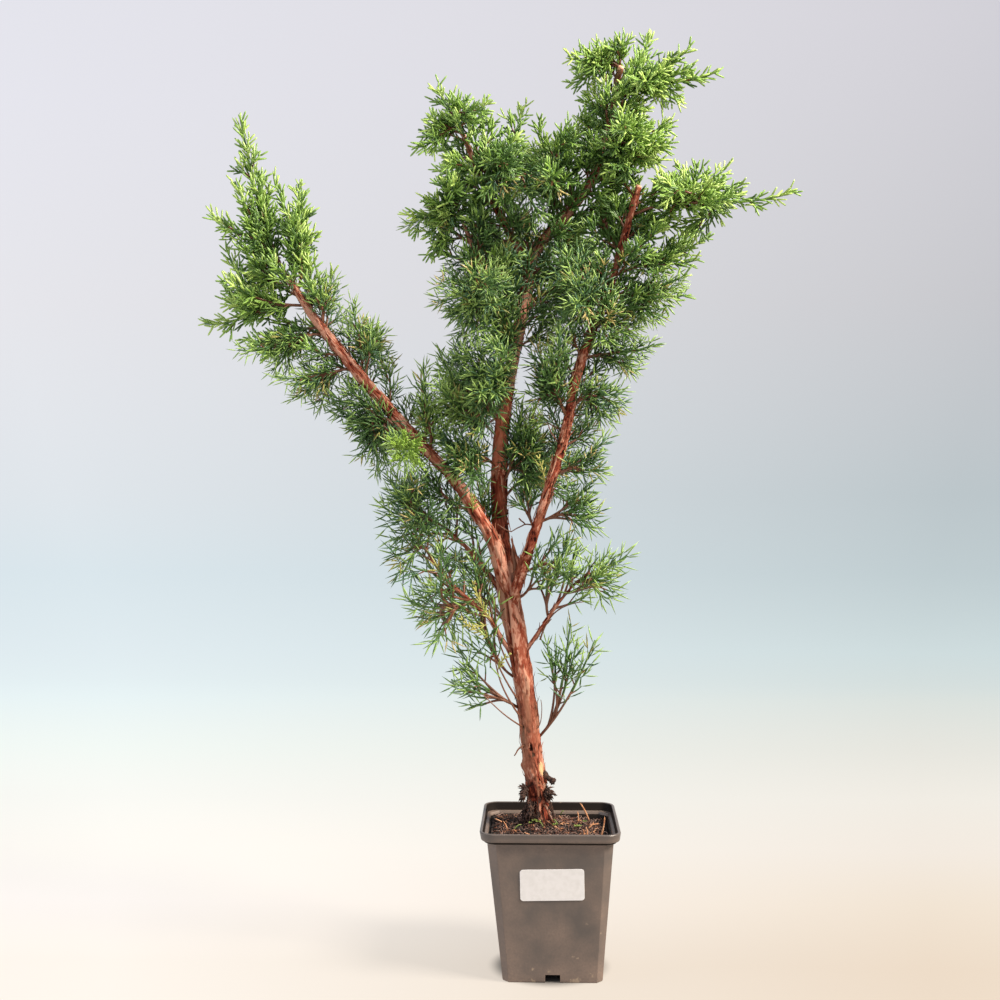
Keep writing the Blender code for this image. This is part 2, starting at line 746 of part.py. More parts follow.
def leader_shape(line, half_width, outwards, obstacles=None):
    """A leader's core with its needles. A needle that would touch an obstacle is shortened, or else left out."""
    rings, tangents, first = core_rings(line, outwards)
    tips = {}
    if obstacles is not None:
        for ring, face, root, direction, length in needle_sites(rings, tangents, first, half_width):
            for shrink in SHRINKS:
                tip = root + direction * length * shrink
                if not touches(needle_wedge(rings, ring, face, tip, GAP), obstacles):
                    tips[ring, face] = tip
                    break
    points = [*rings.reshape(-1, 3), line[-1]]
    peak = len(points) - 1
    faces = [(2, 1, 0)]
    last = len(rings) - 1
    for ring in range(last):
        for face in range(3):
            after = (face + 1) % 3
            corners = (ring * 3 + face, ring * 3 + after, ring * 3 + 3 + after, ring * 3 + 3 + face)
            if (ring, face) in tips:
                points.append(tips[ring, face])
                end = len(points) - 1
                faces += [(corners[side], corners[(side + 1) % 4], end) for side in range(4)]
            else:
                faces.append(corners)
    faces += [(last * 3 + face, last * 3 + (face + 1) % 3, peak) for face in range(3)]
    return outward(np.array(points), faces)


def side_leader(line, half_width, phase):
    """A short leader that a wide one sends out sideways below its middle."""
    base, tangent = at_share(line, SIDE_LEADER_SHARE)
    reach = np.linalg.norm(np.diff(line, axis=0), axis=1).sum()
    first = unit(np.cross(tangent, SIDE_LEADER_ACROSS))
    side = math.cos(phase) * first + math.sin(phase) * np.cross(tangent, first)
    direction = unit(tangent + side)
    length = min(SIDE_LEADER_REACH * reach, SIDE_LEADER_MOST_WIDTHS * half_width)
    return leader_line(base, direction, base + direction * length)


def largest_body(obj):
    """Keeps the body with the most corners, without the loose scraps and sealed hollows that a union can leave."""
    mesh = obj.data
    parent = list(range(len(mesh.vertices)))

    def root(index):
        while parent[index] != index:
            parent[index] = parent[parent[index]]
            index = parent[index]
        return index

    for edge in mesh.edges:
        first, second = (root(index) for index in edge.vertices)
        parent[first] = second
    groups = {}
    for index in range(len(mesh.vertices)):
        groups.setdefault(root(index), []).append(index)
    kept = set(max(groups.values(), key=len))
    renumber = {index: place for place, index in enumerate(sorted(kept))}
    points = [tuple(mesh.vertices[index].co) for index in sorted(kept)]
    faces = [
        tuple(renumber[index] for index in polygon.vertices)
        for polygon in mesh.polygons
        if polygon.vertices[0] in kept
    ]
    whole = bpy.data.meshes.new(obj.name)
    whole.from_pydata(points, [], faces)
    obj.data = whole


def join_pieces(name, shapes):
    """One object from overlapping closed shapes, joined by a single union on a collection."""
    stem = new_object(name, *shapes[0])
    if len(shapes) == 1:
        return stem
    rest = bpy.data.collections.new(name + "_sprays")
    bpy.context.scene.collection.children.link(rest)
    for number, shape in enumerate(shapes[1:]):
        piece = new_object("%s_%d" % (name, number), *shape)
        bpy.context.scene.collection.objects.unlink(piece)
        rest.objects.link(piece)
    modifier = stem.modifiers.new("join", "BOOLEAN")
    modifier.operation = "UNION"
    modifier.operand_type = "COLLECTION"
    modifier.collection = rest
    modifier.solver = "MANIFOLD"
    graph = bpy.context.evaluated_depsgraph_get()
    joined = bpy.data.meshes.new_from_object(stem.evaluated_get(graph))
    stem.modifiers.clear()
    stem.data = joined
    for piece in list(rest.objects):
        bpy.data.objects.remove(piece)
    bpy.data.collections.remove(rest)
    largest_body(stem)
    return stem


def make_masses(limb_shapes):
    """Every mass, its needles clear of the limbs and of the other masses."""
    limb_trees = {name: tree_of([shape]) for name, shape in limb_shapes.items()}
    leaders, cores = {}, {}
    for name, (limb, share, tips) in MASSES.items():
        lines, outwards = leaders_of(limb, share, tips, limb_trees[limb])
        leaders[name] = [(line, tip[3], None) for line, tip in zip(lines, tips)]
        leaders[name][0] = (lines[0], tips[0][3], outwards)
        cores[name] = [leader_shape(*leader) for leader in leaders[name]]
    made = {}
    for order, name in enumerate(MASSES):
        others = list(limb_shapes.values())
        for other in MASSES:
            if other != name:
                others += made.get(other, cores[other])
        obstacles = tree_of(others)
        for number, (line, half_width, _) in enumerate(list(leaders[name])):
            if half_width >= SIDE_LEADER_WIDTH:
                phase = SIDE_LEADER_TURNS[0] * order + SIDE_LEADER_TURNS[1] * number
                short = side_leader(line, half_width, phase)
                if not touches(leader_shape(short, half_width, None), obstacles):
                    leaders[name].append((short, SIDE_LEADER_NARROWER * half_width, None))
        made[name] = [leader_shape(*leader, obstacles) for leader in leaders[name]]
        finish(join_pieces(name, made[name]), FOLIAGE_COLOUR, 0.6)


def main():
    clear_scene()
    make_pot()
    make_soil()
    make_label()
    make_masses(make_limbs())


main()
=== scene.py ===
# %% [markdown]
# # A kishu juniper in its nursery pot
# A young conifer that is being grown on as a bonsai: a leaning, forked trunk with peeling bark, open masses
# of fine foliage, and a square plastic pot of peat. The solid model gives every limb and mass its place and
# reach. This lesson grows the same tree again with finer twigs, and gives each surface its real finish.
# Design sizes are in millimetres, and become metres as a mesh is made.

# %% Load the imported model
import math

import bpy
import numpy as np
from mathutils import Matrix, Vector


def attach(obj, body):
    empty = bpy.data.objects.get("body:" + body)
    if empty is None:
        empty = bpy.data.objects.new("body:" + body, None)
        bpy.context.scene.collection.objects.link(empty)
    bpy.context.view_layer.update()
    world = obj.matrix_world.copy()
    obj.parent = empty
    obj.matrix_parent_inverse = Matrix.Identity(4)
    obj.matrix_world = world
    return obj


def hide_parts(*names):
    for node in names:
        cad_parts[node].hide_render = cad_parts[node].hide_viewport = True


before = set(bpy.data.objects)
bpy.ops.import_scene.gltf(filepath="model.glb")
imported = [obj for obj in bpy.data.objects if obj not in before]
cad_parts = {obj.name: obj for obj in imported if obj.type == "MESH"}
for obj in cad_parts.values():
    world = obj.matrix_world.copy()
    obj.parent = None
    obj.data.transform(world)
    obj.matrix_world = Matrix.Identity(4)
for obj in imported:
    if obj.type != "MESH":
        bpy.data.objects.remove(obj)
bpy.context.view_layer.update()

# %% [markdown]
# The picture was taken from table height with a short telephoto lens, about a metre away and level with the
# middle of the tree. The tree is square with its pot, so the camera takes the small turn between them.

# %% Camera
MM = 0.001
CAMERA_PLACE = (-11.3, -1039.7, 378.0)
CAMERA_TURN = math.radians(1.6)
LENS = 46.0

camera = bpy.data.objects.new("camera", bpy.data.cameras.new("camera"))
camera.data.lens = LENS
camera.data.sensor_width = 36.0
camera.location = Vector(CAMERA_PLACE) * MM
camera.rotation_euler = (math.radians(90), 0.0, CAMERA_TURN)
bpy.context.scene.collection.objects.link(camera)
bpy.context.scene.camera = camera
print("camera", tuple(camera.location))

# %% [markdown]
# Most pieces here are hundreds or thousands of small closed shapes, such as needles. A Python loop over
# their corners would take minutes, so each kind is worked out as whole arrays and put into a mesh at once.

# %% Vectors and meshes from arrays
def unit(vectors):
    """Each vector divided by its own length."""
    return vectors / np.maximum(np.linalg.norm(vectors, axis=-1, keepdims=True), 1e-9)


def put_mesh(name, points, faces, smooth=True):
    """An object from points (n, 3) in millimetres and faces (m, 3 or 4) as rows of point numbers."""
    mesh = bpy.data.meshes.new(name)
    mesh.vertices.add(len(points))
    mesh.vertices.foreach_set("co", (points * MM).astype(np.float32).ravel())
    mesh.loops.add(faces.size)
    mesh.loops.foreach_set("vertex_index", faces.astype(np.int32).ravel())
    mesh.polygons.add(len(faces))
    mesh.polygons.foreach_set("loop_start", np.arange(0, faces.size, faces.shape[1], dtype=np.int32))
    mesh.update(calc_edges=True)
    (mesh.shade_smooth if smooth else mesh.shade_flat)()
    obj = bpy.data.objects.new(name, mesh)
    bpy.context.scene.collection.objects.link(obj)
    return obj


def put_attribute(obj, name, values):
    """One number or one vector for each point of a mesh, which a material can read by its name."""
    kind, field = ("FLOAT", "value") if values.ndim == 1 else ("FLOAT_VECTOR", "vector")
    layer = obj.data.attributes.new(name, kind, "POINT")
    layer.data.foreach_set(field, values.astype(np.float32).ravel())


def keep(obj, material, slot, *nodes):
    """Dresses a finished piece and puts it on the tree's one body, in the place of the nodes named."""
    obj.data.materials.append(material)
    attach(obj, "root")
    if nodes:
        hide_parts(*nodes)
    print(obj.name, len(obj.data.polygons), "faces")
    return obj


# %% [markdown]
# A twig, a straw and a strip of bark are all one shape: a ring carried along a line and closed at both ends.
# One function makes any number of them together, as long as they have equally many rings.

# %% Tubes along lines
def cross_frame(tangents, guide):
    """Two unit vectors square to each tangent: the guide made square to it, and their cross product."""
    first = unit(guide - tangents * (guide * tangents).sum(-1, keepdims=True))
    return first, np.cross(tangents, first)


def guide_for(directions):
    """A vector that is never along the direction: +Y, or +X where the direction itself is nearly Y."""
    near_y = np.abs(unit(directions)[..., 1:2]) > 0.85
    return np.where(near_y, np.array([1.0, 0.0, 0.0]), np.array([0.0, 1.0, 0.0]))


def tube_faces(rings, sides):
    """Triangles of one closed tube: two for each square between rings, and a fan to each end's middle."""
    ring, side = np.meshgrid(np.arange(rings - 1), np.arange(sides), indexing="ij")
    ring, side = ring.ravel(), side.ravel()
    after = (side + 1) % sides
    near, near_after = ring * sides + side, ring * sides + after
    far, far_after = near + sides, near_after + sides
    walls = np.concatenate([np.stack([near, near_after, far_after], 1), np.stack([near, far_after, far], 1)])
    around = np.arange(sides)
    turned = (around + 1) % sides
    first, last = rings * sides, rings * sides + 1
    top = (rings - 1) * sides
    foot_cap = np.stack([np.full(sides, first), turned, around], 1)
    tip_cap = np.stack([np.full(sides, last), top + around, top + turned], 1)
    return np.concatenate([walls, foot_cap, tip_cap])


def tubes(centres, widths, sides, wide=None, flat=1.0, tangents=None):
    """Points and faces of closed tubes.

    centres (tubes, rings, 3) are the rings' middles and widths (tubes, rings) their radii. A ring's point is
    its centre + width * (cos(a) * first + flat * sin(a) * second), where first leans towards wide if it is
    given.
    """
    count, rings = widths.shape
    tangents = unit(np.gradient(centres, axis=1)) if tangents is None else tangents
    guide = guide_for(tangents.mean(1, keepdims=True)) if wide is None else wide
    first, second = cross_frame(tangents, guide)
    angles = 2 * np.pi * np.arange(sides) / sides
    across, aside = np.cos(angles)[..., None], flat * np.sin(angles)[..., None]
    circle = across * first[:, :, None] + aside * second[:, :, None]
    points = centres[:, :, None] + widths[..., None, None] * circle
    points = np.concatenate([points.reshape(count, rings * sides, 3), centres[:, [0, -1]]], axis=1)
    each = points.shape[1]
    faces = tube_faces(rings, sides)[None] + each * np.arange(count)[:, None, None]
    return points.reshape(-1, 3), faces.reshape(-1, 3)


def joined(shapes):
    """Several (points, faces) as one."""
    offsets = np.cumsum([0] + [len(points) for points, _ in shapes[:-1]])
    points = np.concatenate([points for points, _ in shapes])
    return points, np.concatenate([faces + offset for (_, faces), offset in zip(shapes, offsets)])


print("a tube of 6 rings and 4 sides has", len(tube_faces(6, 4)), "faces")

# %% [markdown]
# Bark, peat and plastic are never even. Value noise gives each of them its relief: random numbers on a
# lattice, blended smoothly, with the lattice stretched to the size that the feature has on the real thing.

# %% Noise
def lattice(cells, seed):
    """A repeatable random number from 0 to 1 for each whole-number cell, by shuffling its bits."""
    factors = np.array([73856093, 19349663, 83492791], np.uint64)
    mixed = (cells.astype(np.int64).astype(np.uint64) * factors).sum(-1) + np.uint64(seed * 2654435761)
    mixed = (mixed ^ (mixed >> np.uint64(13))) * np.uint64(1274126177)
    mixed = (mixed ^ (mixed >> np.uint64(16))) & np.uint64(0xFFFF)
    return mixed.astype(float) / 0xFFFF


def noise(points, size, seed):
    """Smooth noise from -1 to 1 with lumps of the size given, in millimetres.

    Each point lies in a cell of the lattice, and takes its eight corners' numbers, weighted by 3t^2 - 2t^3
    of its place t along each axis.
    """
    scaled = points / np.asarray(size, float)
    cells = np.floor(scaled)
    share = scaled - cells
    share = share * share * (3 - 2 * share)
    total = np.zeros(points.shape[:-1])
    for corner in np.ndindex(2, 2, 2):
        weight = np.where(np.array(corner, bool), share, 1 - share).prod(-1)
        total += weight * lattice(cells + np.array(corner), seed)
    return 2 * total - 1


def smooth_step(values, low, high):
    """0 below low, 1 above high, and 3t^2 - 2t^3 between."""
    share = np.clip((values - low) / (high - low), 0, 1)
    return share * share * (3 - 2 * share)


print("noise of one point", noise(np.array([[1.3, 2.2, 0.4]]), 1.0, 1))

# %% [markdown]
# Colours are sRGB hex values, as a painter would pick them, and become linear for the shader. One function
# adds a node, so a material reads as a list of its layers.

# %% Materials from nodes
def linear(hex_colour):
    """sRGB hex to linear RGBA: each channel c becomes ((c + 0.055) / 1.055)^2.4, or c / 12.92 when dark."""
    channels = [int(hex_colour[place : place + 2], 16) / 255 for place in (1, 3, 5)]
    return (*[c / 12.92 if c <= 0.04045 else ((c + 0.055) / 1.055) ** 2.4 for c in channels], 1.0)


def add_node(material, kind, inputs, stops=(), **settings):
    """One node with its settings, and a ramp's colour stops.

    An input is a value, another node's output, or another node, for its first output.
    """
    tree = material.node_tree
    node = tree.nodes.new("ShaderNode" + kind)
    for name, value in settings.items():
        setattr(node, name, value)
    for number, (place, colour) in enumerate(stops):
        stop = node.color_ramp.elements[number] if number < 2 else node.color_ramp.elements.new(place)
        stop.position, stop.color = place, linear(colour)
    for name, value in inputs.items():
        value = value.outputs[0] if isinstance(value, bpy.types.Node) else value
        if isinstance(value, bpy.types.NodeSocket):
            tree.links.new(value, node.inputs[name])
        else:
            node.inputs[name].default_value = value
    return node


def start_material(name):
    """An empty material and the Object coordinates that its patterns read."""
    material = bpy.data.materials.new(name)
    material.use_nodes = True
    material.node_tree.nodes.clear()
    return (material, add_node(material, "TexCoord", {}).outputs["Object"])


def laid_over(material, colour, layers):
    """A colour with others mixed over it in turn, each by its own factor: c becomes c + f * (layer - c)."""
    for factor, shade in layers:
        mix = {"Factor": factor, "A": colour, "B": linear(shade)}
        colour = add_node(material, "Mix", mix, data_type="RGBA").outputs["Result"]
    return colour


def end_material(material, inputs):
    """Joins the layers to a Principled surface."""
    shader = add_node(material, "BsdfPrincipled", inputs)
    add_node(material, "OutputMaterial", {"Surface": shader})
    return material


print("mid green is", linear("#5d8a52"))

# %% [markdown]
# The limbs are the ones of the solid model: rows of a centre and a radius, with a Catmull-Rom curve through
# them. The trunk leans left out of the pot, forks, swings back and ends in a sawn cut high on the right.

# %% The limbs' centre lines
TRUNK = (
    (-3, 6, 115, 12.5), (-8, 6, 134, 9.4), (-13, 6, 161, 8.4), (-19, 3, 215, 8.2), (-27, 3, 267, 8.9),
    (-35, 5, 313, 8.6), (-41, 13, 374, 6.7), (-40, 12, 427, 6.4), (-32, 10, 485, 5.5), (-22, 11, 534, 5.2),
    (-13, 13, 580, 4.9), (10, 5, 606, 3.8), (34, 0, 638, 3.1), (49, 2, 681, 2.6), (57, 5, 728, 2.2),
)
BOUGHS = {
    "left_bough": (
        (-32, 1, 297, 4.0), (-39, -6, 321, 6.0), (-46, -10, 346, 5.8), (-75, -14, 392, 4.8),
        (-112, -16, 432, 4.5), (-157, -20, 484, 4.2), (-194, -17, 531, 3.4), (-211, -16, 558, 2.3),
    ),
    "right_bough": (
        (-30, 3, 290, 3.5), (-25, -8, 313, 4.8), (-9, -16, 362, 4.2), (11, -14, 426, 3.8),
        (24, -9, 486, 3.7), (47, -7, 546, 3.1), (63, -8, 599, 2.8), (71, -11, 629, 2.6),
    ),
    "upper_left_bough": (
        (-15, 13, 571, 3.0), (-27, 5, 586, 3.2), (-39, -3, 606, 3.0), (-58, -10, 644, 2.6),
        (-69, -10, 671, 2.2),
    ),
    "left_mid_bough": ((-27, 10, 511, 2.6), (-39, 1, 533, 2.6), (-51, -5, 555, 2.4), (-73, -10, 610, 1.6)),
    "lower_left_bough": ((-37, 6, 297, 2.6), (-47, 5, 313, 2.7), (-65, 3, 336, 2.3), (-82, 0, 353, 1.8)),
    "low_left_bough": (
        (-31, 3, 252, 2.4), (-40, -6, 268, 2.4), (-51, -10, 285, 2.1), (-83, -13, 314, 1.8),
        (-100, -12, 339, 1.4),
    ),
    "low_right_bough": ((-22, 3, 252, 2.0), (-14, 0, 263, 2.0), (5, -6, 292, 1.7), (19, -6, 309, 1.3)),
    "centre_right_bough": ((-20, 11, 540, 2.4), (-8, 19, 546, 2.3), (15, 40, 564, 1.7)),
    "back_high_bough": ((-23, 11, 528, 2.4), (-30, 35, 543, 2.3), (-46, 83, 582, 1.6)),
    "back_low_bough": ((-38, 12, 437, 2.4), (-48, 33, 451, 2.3), (-70, 74, 479, 1.6)),
    "torn_stub": ((-27, 0, 309, 3.0), (-25, -6, 322, 2.3), (-28, -9, 336, 1.5), (-31, -10, 347, 0.6)),
}
LIMBS = {"trunk": TRUNK, **BOUGHS}


def smooth_rows(rows, step):
    """Rows about one step apart on a Catmull-Rom curve.

    Between two rows it is the cubic in the share t whose slope at each of them is half the way from the row
    before to the row after.
    """
    rows = np.asarray(rows, float)
    padded = np.concatenate([[2 * rows[0] - rows[1]], rows, [2 * rows[-1] - rows[-2]]])
    parts = []
    for before, start, end, after in zip(padded, padded[1:], padded[2:], padded[3:]):
        count = max(1, round(np.linalg.norm(end[:3] - start[:3]) / step))
        t = np.arange(count)[:, None] / count
        parts.append(
            0.5
            * (
                2 * start
                + (end - before) * t
                + (2 * before - 5 * start + 4 * end - after) * t**2
                + (3 * start - before - 3 * end + after) * t**3
            )
        )
    return np.concatenate([*parts, rows[-1:]])


LIMB_STEP = 4.0
limb_lines = {name: smooth_rows(rows, LIMB_STEP) for name, rows in LIMBS.items()}
print("limbs", len(limb_lines), "rows", sum(len(line) for line in limb_lines.values()))

# %% [markdown]
# Every mass of foliage hangs on a stem that leaves its limb, runs on to the mass's first tip, and sends out
# a leader to each of the others. These places and half-widths are the solid model's own.

# %% The masses: limb, share of its length, then each leader's tip and half-width
MASSES = {
    "left_spire": ("left_bough", 1.0, ((-249, -19, 686, 12), (-268, -32, 604, 11), (-231, -2, 628, 9))),
    "left_second_spire": ("left_bough", 0.96, ((-207, 10, 639, 12), (-205, -30, 604, 12))),
    "left_arm": ("left_bough", 0.92, (
        (-278, -18, 520, 11), (-256, -41, 552, 11), (-262, 23, 540, 11), (-262, -10, 581, 11),
    )),
    "left_under": ("left_bough", 0.83, ((-250, 7, 511, 12), (-245, -41, 496, 10), (-224, -14, 483, 10))),
    "left_under_low": ("left_bough", 0.72, (
        (-207, -18, 460, 8), (-216, -42, 475, 8), (-193, 23, 453, 8), (-201, -4, 487, 9),
    )),
    "left_low": ("left_bough", 0.56, (
        (-155, -12, 413, 9), (-157, -24, 443, 9), (-144, 30, 398, 8), (-176, 4, 456, 9),
    )),
    "left_front": ("left_bough", 0.48, ((-113, -69, 412, 15),)),
    "left_tuft_high": ("left_bough", 0.85, ((-175, -13, 561, 11), (-191, -45, 551, 9))),
    "left_tufts": ("left_bough", 0.7, ((-142, -6, 517, 10), (-157, -28, 534, 9), (-133, 22, 501, 9))),
    "upright_shoot": ("left_bough", 0.46, ((-101, -19, 486, 10),)),
    "lower_left": ("lower_left_bough", 1.0, (
        (-134, -14, 372, 13), (-125, 47, 385, 12), (-131, 8, 345, 12), (-93, -53, 370, 14),
        (-132, 12, 397, 12), (-110, -26, 400, 14),
    )),
    "low_left_outer": ("low_left_bough", 1.0, (
        (-123, -30, 334, 14), (-122, 4, 317, 13), (-99, -43, 360, 12),
    )),
    "low_left_inner": ("low_left_bough", 0.5, (
        (-109, -41, 297, 15), (-93, -31, 265, 15), (-104, 23, 298, 13), (-84, -64, 332, 13),
        (-81, 20, 274, 13),
    )),
    "lowest_left": ("trunk", 0.15, ((-78, -30, 236, 11), (-75, -12, 260, 11), (-65, 4, 210, 8))),
    "inner_left": ("trunk", 0.5, ((-89, -41, 469, 11), (-99, 17, 454, 10), (-90, -11, 500, 8))),
    "inner_left_low": ("trunk", 0.46, ((-98, -15, 433, 15), (-82, -28, 405, 17), (-62, -60, 397, 12))),
    "centre_left": ("trunk", 0.56, (
        (-68, -38, 494, 16), (-55, -64, 461, 15), (-34, -73, 491, 12), (-57, -38, 430, 13),
    )),
    "left_block": ("left_mid_bough", 0.4, (
        (-89, -26, 537, 16), (-72, -8, 512, 13), (-44, -83, 549, 17), (-48, -42, 508, 13),
    )),
    "left_fan": ("left_mid_bough", 1.0, ((-111, -29, 603, 15), (-96, -11, 575, 12), (-74, -50, 624, 13))),
    "crown_left": ("upper_left_bough", 1.0, (
        (-91, -9, 712, 11), (-104, -35, 656, 11), (-66, 18, 700, 10), (-52, -43, 684, 12),
    )),
    "crown_left_inner": ("upper_left_bough", 0.54, (
        (-21, 7, 701, 13), (-35, -63, 645, 15), (-92, 39, 657, 14), (-6, -44, 600, 15), (-49, -52, 617, 14),
    )),
    "crown_centre": ("trunk", 0.79, (
        (-9, 2, 686, 12), (-25, 67, 681, 15), (1, -70, 628, 16), (28, 39, 703, 11), (13, -34, 672, 13),
        (-20, 31, 641, 14),
    )),
    "crown_top": ("trunk", 1.0, ((38, -3, 746, 11), (14, -26, 730, 11), (17, 22, 724, 10))),
    "crown_top_right": ("trunk", 0.96, (
        (81, 12, 757, 11), (135, -4, 724, 10), (112, -21, 738, 9), (77, -44, 704, 12), (110, 31, 711, 11),
    )),
    "crown_right": ("trunk", 0.9, (
        (99, 17, 688, 12), (95, -25, 658, 13), (54, -65, 666, 13), (48, -38, 636, 14), (22, 15, 658, 13),
    )),
    "right_tip": ("right_bough", 0.94, (
        (196, -21, 624, 9), (142, -8, 645, 13), (143, -46, 614, 11), (108, 25, 655, 13), (81, -44, 628, 13),
        (112, -2, 600, 12),
    )),
    "right_mid": ("right_bough", 0.8, (
        (132, 12, 596, 7), (128, 42, 612, 8), (121, -5, 573, 6), (84, -26, 556, 9),
    )),
    "right_low": ("right_bough", 0.75, (
        (111, 3, 545, 10), (108, -31, 556, 10), (86, -36, 520, 11), (70, 32, 532, 13),
    )),
    "right_inner": ("right_bough", 0.71, ((9, -58, 567, 18), (18, -74, 527, 15))),
    "right_lower": ("right_bough", 0.6, ((83, -22, 502, 11), (75, 22, 486, 9))),
    "right_lowest": ("right_bough", 0.5, ((55, -24, 464, 15), (49, -3, 444, 11))),
    "between": ("right_bough", 0.46, ((-11, -22, 504, 11), (7, -58, 511, 10), (-17, -32, 463, 9))),
    "centre_right_low": ("trunk", 0.45, ((-1, -2, 432, 9), (-8, -8, 394, 11), (-12, -14, 452, 9))),
    "right_spur_high": ("right_bough", 0.33, ((46, -17, 428, 9), (42, -33, 402, 9))),
    "right_spur_low": ("right_bough", 0.22, ((32, -27, 392, 11), (40, -11, 368, 11), (30, -35, 358, 11))),
    "lower_right": ("low_right_bough", 1.0, (
        (62, -12, 334, 11), (48, -5, 298, 9), (31, -41, 331, 12), (33, 16, 304, 9),
    )),
    "lower_right_inner": ("low_right_bough", 0.55, (
        (8, -34, 327, 13), (-12, 4, 319, 11), (15, 8, 349, 12),
    )),
    "lowest_right": ("trunk", 0.11, ((36, -17, 266, 9), (17, 7, 277, 9), (-2, -2, 262, 7))),
    "centre_right": ("centre_right_bough", 1.0, (
        (11, 56, 623, 19), (34, 79, 602, 18), (36, 75, 552, 16), (-1, 52, 510, 15),
    )),
    "back_high": ("back_high_bough", 1.0, ((-44, 135, 569, 19), (-63, 116, 617, 19), (-24, 105, 620, 18))),
    "back_low": ("back_low_bough", 1.0, ((-88, 110, 502, 18), (-62, 120, 462, 16))),
    "back_base": ("trunk", 0.25, ((-85, 86, 297, 15), (-64, 82, 329, 14))),
    "back_right": ("trunk", 0.42, ((38, 93, 466, 11), (36, 85, 418, 10), (29, 73, 371, 10))),
    "crown_back": ("trunk", 0.91, ((48, 73, 722, 15), (81, 74, 680, 12))),
}
FILLING = {
    "under_left_bough": ("left_bough", 0.26, (
        (-105, -20, 408, 12), (-112, 5, 388, 12), (-95, -25, 390, 12), (-85, 10, 372, 12),
        (-75, -25, 375, 11), (-66, 5, 360, 10),
    )),
    "between_trunk_and_bough": ("trunk", 0.46, (
        (-22, -10, 455, 11), (-14, 14, 444, 12), (-10, -8, 424, 11), (-24, 8, 420, 10), (-14, -16, 408, 9),
        (-6, 20, 394, 11), (-24, 26, 396, 11), (-16, 28, 384, 9),
    )),
    "beside_bare_trunk": ("trunk", 0.44, ((-24, -7, 447, 9), (-26, -5, 434, 8))),
    "behind_left_bough": ("trunk", 0.36, ((-50, 12, 388, 10), (-58, 8, 398, 10), (-47, 18, 377, 8))),
    "before_trunk": ("trunk", 0.6, (
        (-50, -38, 515, 12), (-45, -48, 500, 12), (-38, -32, 532, 12), (-30, -30, 512, 11),
    )),
    "right_bough_cover": ("right_bough", 0.68, (
        (50, -35, 525, 13), (62, -20, 510, 12), (40, -38, 504, 12), (70, 10, 520, 12),
    )),
    "high_right_cover": ("right_bough", 0.84, (
        (38, 2, 612, 13), (52, 8, 598, 13), (28, -10, 596, 12), (68, 20, 610, 12), (82, 0, 600, 12),
        (46, 4, 636, 12), (60, 14, 642, 12), (84, -6, 628, 11), (102, -8, 606, 9), (114, 2, 600, 8),
    )),
    "fork_right": ("right_bough", 0.1, (
        (8, -20, 350, 10), (14, -22, 332, 10), (0, -22, 322, 9), (18, -12, 314, 9),
    )),
    "fork_right_low": ("right_bough", 0.03, ((-10, -20, 340, 8), (-5, -22, 322, 8), (-2, -14, 308, 8))),
    "in_the_fork": ("right_bough", 0.2, (
        (-29, -2, 389, 9), (-19, -2, 394, 9), (-11, 2, 385, 9), (-23, 8, 381, 8),
    )),
    "low_left_filling": ("low_left_bough", 0.62, (
        (-96, -10, 321, 12), (-80, -20, 309, 12), (-88, 6, 291, 12), (-70, -15, 291, 11), (-75, 2, 326, 11),
        (-64, -12, 272, 10), (-104, 10, 335, 12),
    )),
    "shoot_filling": ("left_bough", 0.44, ((-102, -16, 470, 8), (-98, -20, 456, 8), (-104, -14, 444, 8))),
    "beside_trunk": ("trunk", 0.19, (
        (-58, -14, 284, 9), (-48, -22, 268, 9), (-64, -10, 262, 9), (-44, -12, 298, 9), (-52, -18, 248, 8),
        (-62, 16, 320, 10), (-54, 18, 306, 10), (-72, 10, 302, 10), (-60, 22, 336, 10),
    )),
    "spire_filling": ("left_bough", 0.99, (
        (-200, -10, 626, 9), (-208, -20, 598, 10), (-195, -25, 585, 11), (-223, -12, 641, 6),
    )),
    "left_filling": ("left_bough", 0.97, (
        (-250, -25, 585, 12), (-235, -20, 570, 13), (-245, 10, 560, 12), (-240, -5, 605, 13),
    )),
    "left_low_filling": ("left_bough", 0.52, (
        (-150, -28, 468, 10), (-165, -20, 474, 10), (-135, -25, 450, 10), (-122, -22, 424, 11),
        (-106, -16, 416, 10), (-130, -8, 406, 10),
    )),
    "crown_top_filling": ("trunk", 0.93, ((66, -10, 702, 10), (78, -5, 694, 10), (60, -25, 712, 10))),
    "crown_right_filling": ("trunk", 0.9, ((84, -12, 661, 10), (79, -22, 646, 10), (90, -6, 650, 9))),
    "low_right_filling": ("low_right_bough", 0.9, (
        (40, -20, 318, 11), (48, -14, 330, 11), (28, -28, 312, 10), (52, -5, 312, 10),
    )),
}
print("masses", len(MASSES), "leaders", sum(len(tips) for _, _, tips in MASSES.values()))

# %% [markdown]
# A twig could be drawn by hand, but a tree has thousands of them. So each is worked out from the line that
# it leaves: from a share of its way, at an angle to it, turned round it by a phase, and bent back up a
# little. The solid model's leaders are the first generation, and the finer ones use the same step again.

# %% Growth: the source's leaders
GAP = 0.3
STEM_SINK = 0.6
STEM_FOLLOWS_LIMB = 0.9
LINE_STEPS = 40
FIRST_FORK = 0.14
FORK_STEP = 0.09
HANDLE_SHARE = 0.33
TIP_LIFT = 0.35
UP = np.array([0.0, 0.0, 1.0])
OPEN_BELOW, FULL_ABOVE = 330.0, 430.0


